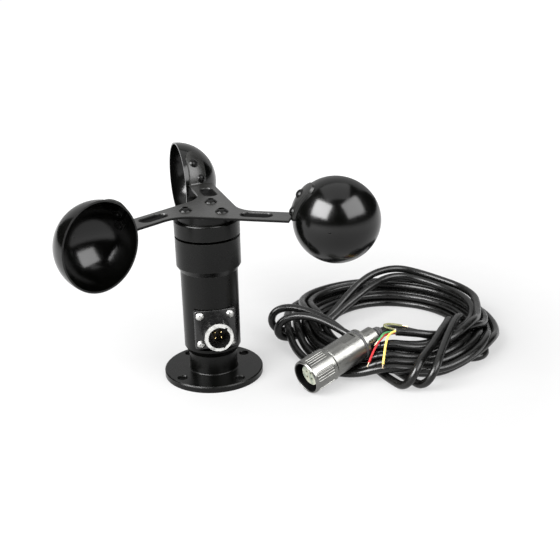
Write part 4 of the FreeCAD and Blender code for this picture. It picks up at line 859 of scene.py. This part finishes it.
    def tip(self, name: str, along: Vector, end: Vector) -> bpy.types.Object:
        """Make the twisted bare strands at a core's end.

        Args:
            name: The piece's name.
            along: The direction the core points in.
            end: Where the insulation stops, in metres.

        Returns:
            The strands as one mesh.
        """
        strands = []
        side = along.orthogonal().normalized()
        other = along.cross(side)
        for strand in range(self.strands):
            line = []
            for step in range(self.strand_points):
                turn = 2 * math.pi * strand / self.strands + 0.55 * step
                spread = (0.26 + 0.012 * step) * MM
                line.append(end + along * (0.5 * step * MM - 0.4 * MM)
                            + side * math.cos(turn) * spread + other * math.sin(turn) * spread)
            strands.append(self.curve(f"{name}_{strand}", line, self.strand_thick))
        bpy.ops.object.select_all(action="DESELECT")
        for strand in strands:
            strand.select_set(True)
        bpy.context.view_layer.objects.active = strands[0]
        bpy.ops.object.convert(target="MESH")
        bpy.ops.object.join()
        made = bpy.context.active_object
        made.name = name
        return made

    def end_plug(self) -> bpy.types.Object:
        """Make the filler that shows between the cores at the jacket's cut end."""
        bpy.ops.object.select_all(action="DESELECT")
        bpy.ops.mesh.primitive_cylinder_add(vertices=40, radius=self.filler_radius * MM,
                                            depth=self.filler_deep * MM)
        piece = bpy.context.active_object
        piece.name = "jacket_filler"
        bpy.ops.object.mode_set(mode="EDIT")
        bpy.ops.mesh.select_all(action="SELECT")
        bpy.ops.mesh.bevel(offset=self.filler_edge * MM, segments=3)
        bpy.ops.object.mode_set(mode="OBJECT")
        way = self.cut_way()
        spot = (Vector(self.tail[-1]) + way * self.filler_edge) * MM
        piece.data.transform(standing(spot, way))
        return piece

    def grommet(self) -> bpy.types.Object:
        """Make the ribbed rubber sleeve that eases the cable out of the plug's clamp."""
        bpy.ops.object.select_all(action="DESELECT")
        bpy.ops.mesh.primitive_circle_add(vertices=48, radius=self.sleeve[0] * MM,
                                          fill_type="NGON")
        piece = bpy.context.active_object
        piece.name = "cable_sleeve"
        bpy.ops.object.mode_set(mode="EDIT")
        bpy.ops.mesh.select_all(action="SELECT")
        height, wide = 0.0, self.sleeve[0]
        for step, radius in enumerate(self.sleeve[1:]):
            rise = self.sleeve_steps[step % 2]
            height += rise
            bpy.ops.mesh.extrude_region_move(TRANSFORM_OT_translate={"value": (0, 0, rise * MM)})
            bpy.ops.transform.resize(value=(radius / wide, radius / wide, 1),
                                     center_override=(0, 0, height * MM))
            wide = radius
        bpy.ops.mesh.select_all(action="SELECT")
        bpy.ops.mesh.normals_make_consistent(inside=False)
        bpy.ops.object.mode_set(mode="OBJECT")
        way = Vector(PLUG_AXIS.way)
        spot = Vector(PLUG_AXIS.start) + self.sleeve_start * MM * way
        piece.data.transform(standing(spot, way))
        bpy.ops.object.shade_smooth_by_angle(angle=math.radians(35))
        return piece

    def core(self, name: str, looks: dict[Finish, bpy.types.Material]) -> list[bpy.types.Object]:
        """Make one core with its bare end.

        Args:
            name: The built wire that it stands for.
            looks: The materials by finish.

        Returns:
            The core and its bare strands.
        """
        finish, offset = self.cores[name]
        line = metres([self.wire_start(*offset), *self.wires[name]])
        cover = self.curve(f"core_{name}", line, self.core_thick)
        wear(cover, looks[finish])
        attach(cover, BASE)
        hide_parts(name)
        bare = self.tip(f"bare_{name}", (line[-1] - line[-2]).normalized(), line[-1])
        wear(bare, looks[Finish.COPPER])
        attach(bare, BASE)
        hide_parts("wire_tips")
        return [cover, bare]

    def build(self, looks: dict[Finish, bpy.types.Material]) -> list[bpy.types.Object]:
        """Make the cord, its cores and their bare ends.

        Args:
            looks: The materials by finish.

        Returns:
            The new pieces.
        """
        route = metres(self.lead + self.wound() + self.out_bound + self.back_bound + self.tail)
        cord = self.curve("signal_cable", route, self.thick)
        wear(cord, looks[Finish.JACKET])
        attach(cord, BASE)
        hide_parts("cable_coil", "cable_lead", "cable_tail")
        parts = [piece for name in self.wires for piece in self.core(name, looks)]
        for piece, finish in ((self.grommet(), Finish.RUBBER), (self.end_plug(), Finish.FILLER)):
            wear(piece, looks[finish])
            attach(piece, BASE)
            parts.append(piece)
        LOG.info("signal cable: %.2f m, %d points", self.length(route), len(route))
        return [cord, *parts]


# ---------------------------------------------------------------- dressing the built parts


class Dressing:
    """Which finish each built part wears."""

    by_slot = {"black_gloss": Finish.PAINT, "black_satin": Finish.PLATE,
               "bright_metal": Finish.NICKEL, "steel": Finish.STEEL,
               "aluminium": Finish.ALUMINIUM, "brass": Finish.GOLD, "rubber": Finish.RUBBER,
               "black_plastic": Finish.PLASTIC, "ivory_plastic": Finish.IVORY,
               "green_board": Finish.BOARD, "jacket": Finish.JACKET, "red_cover": Finish.RED,
               "yellow_cover": Finish.YELLOW, "green_cover": Finish.GREEN,
               "brown_cover": Finish.BROWN}
    special = {"socket_shell": Finish.SHELL, "hub_screws": Finish.PAINT, "plug_nut": Finish.NUT,
               "socket_screws": Finish.BOLT}
    special |= {f"cup_{number}": Finish.CUP_PAINT for number in (1, 2, 3)}
    special |= {f"cup_screws_{number}": Finish.PAINT for number in (1, 2, 3)}
    special |= {f"cup_nuts_{number}": Finish.PAINT for number in (1, 2, 3)}

    def metals(self) -> dict[Finish, BareMetal | DarkMetal]:
        """The finishes of bare and plated metal."""
        drawn = (0, 78, 33)
        return {
            Finish.NICKEL: BareMetal("bright_metal", turn=drawn),
            # painted shade inside the nut's inner hole, within 9.3 mm of the plug's axis
            Finish.NUT: BareMetal("bright_metal_nut", turn=drawn, inside=(PLUG_AXIS, 0.0093)),
            Finish.BOLT: BareMetal("bright_metal_screw", bright=(0.60, 0.60, 0.58),
                                   dull=(0.34, 0.34, 0.33)),
            Finish.STEEL: BareMetal("steel", bright=(0.58, 0.58, 0.57), dull=(0.36, 0.36, 0.35),
                                    gloss=0.26),
            Finish.ALUMINIUM: BareMetal("aluminium", bright=(0.66, 0.66, 0.67),
                                        dull=(0.48, 0.48, 0.49), gloss=0.32),
            Finish.SHELL: DarkMetal("socket_plating"),
            Finish.GOLD: BareMetal("gold_plate", bright=(0.86, 0.70, 0.36),
                                   dull=(0.66, 0.50, 0.22), gloss=0.22),
            Finish.COPPER: BareMetal("tinned_copper", bright=(0.82, 0.62, 0.44),
                                     dull=(0.60, 0.50, 0.42), gloss=0.28, grain=(1, 1, 1)),
        }

    def mouldings(self) -> dict[Finish, Moulded | CableJacket | CoreCover]:
        """The finishes of plastic, rubber and the cable."""
        return {
            Finish.RUBBER: Moulded("rubber", (0.014, 0.014, 0.014), (0.026, 0.026, 0.026),
                                   gloss=0.55, sheen=0.1),
            Finish.PLASTIC: Moulded("black_plastic", (0.020, 0.017, 0.015),
                                    (0.034, 0.028, 0.024), gloss=0.38),
            Finish.IVORY: Moulded("ivory_plastic", (0.27, 0.27, 0.22), (0.13, 0.15, 0.12),
                                  gloss=0.34, mottle=240),
            Finish.BOARD: Moulded("green_board", (0.02, 0.14, 0.05), (0.03, 0.20, 0.07),
                                  gloss=0.30, mottle=500),
            Finish.JACKET: CableJacket("jacket"),
            Finish.FILLER: Moulded("cable_filler", (0.30, 0.29, 0.27), (0.44, 0.42, 0.38),
                                   gloss=0.7, mottle=900),
            Finish.RED: CoreCover("red_cover", (0.36, 0.018, 0.020), (0.20, 0.010, 0.014)),
            Finish.YELLOW: CoreCover("yellow_cover", (0.70, 0.52, 0.13), (0.54, 0.36, 0.07)),
            Finish.GREEN: CoreCover("green_cover", (0.05, 0.20, 0.07), (0.03, 0.12, 0.045)),
            Finish.BROWN: CoreCover("brown_cover", (0.12, 0.12, 0.05), (0.07, 0.07, 0.03)),
        }

    def materials(self) -> dict[Finish, bpy.types.Material]:
        """Build every material once."""
        paints = {
            Finish.PAINT: GlossPaint("black_gloss"),
            Finish.CUP_PAINT: GlossPaint("black_gloss_cup", gloss=0.15, peel=2.4e-5, index=1.38),
            Finish.PLATE: SatinPaint("black_satin"),
        }
        finishes = paints | self.metals() | self.mouldings()
        return {name: finish.material() for name, finish in finishes.items()}

    def dress(self, looks: dict[Finish, bpy.types.Material]) -> None:
        """Give every built part its finish.

        Args:
            looks: The materials by finish.
        """
        slots = {part["node"]: part["material_slot"] for part in frame["record"]["subparts"]}
        for name, part in frame["nodes"].items():
            finish = self.special.get(name, self.by_slot[slots[name]])
            wear(part, looks[finish])
            LOG.info("%s wears %s", name, finish.value)


def main() -> None:
    """Build the studio, the camera and every piece, in order."""
    logging.basicConfig(level=logging.INFO, format="%(name)s: %(message)s")
    Studio().build()
    PictureCamera().build()
    dressing = Dressing()
    looks = dressing.materials()
    dressing.dress(looks)
    for piece in SignalCable().build(looks):
        LOG.info("made %s", piece.name)


if __name__ == "__main__":
    main()
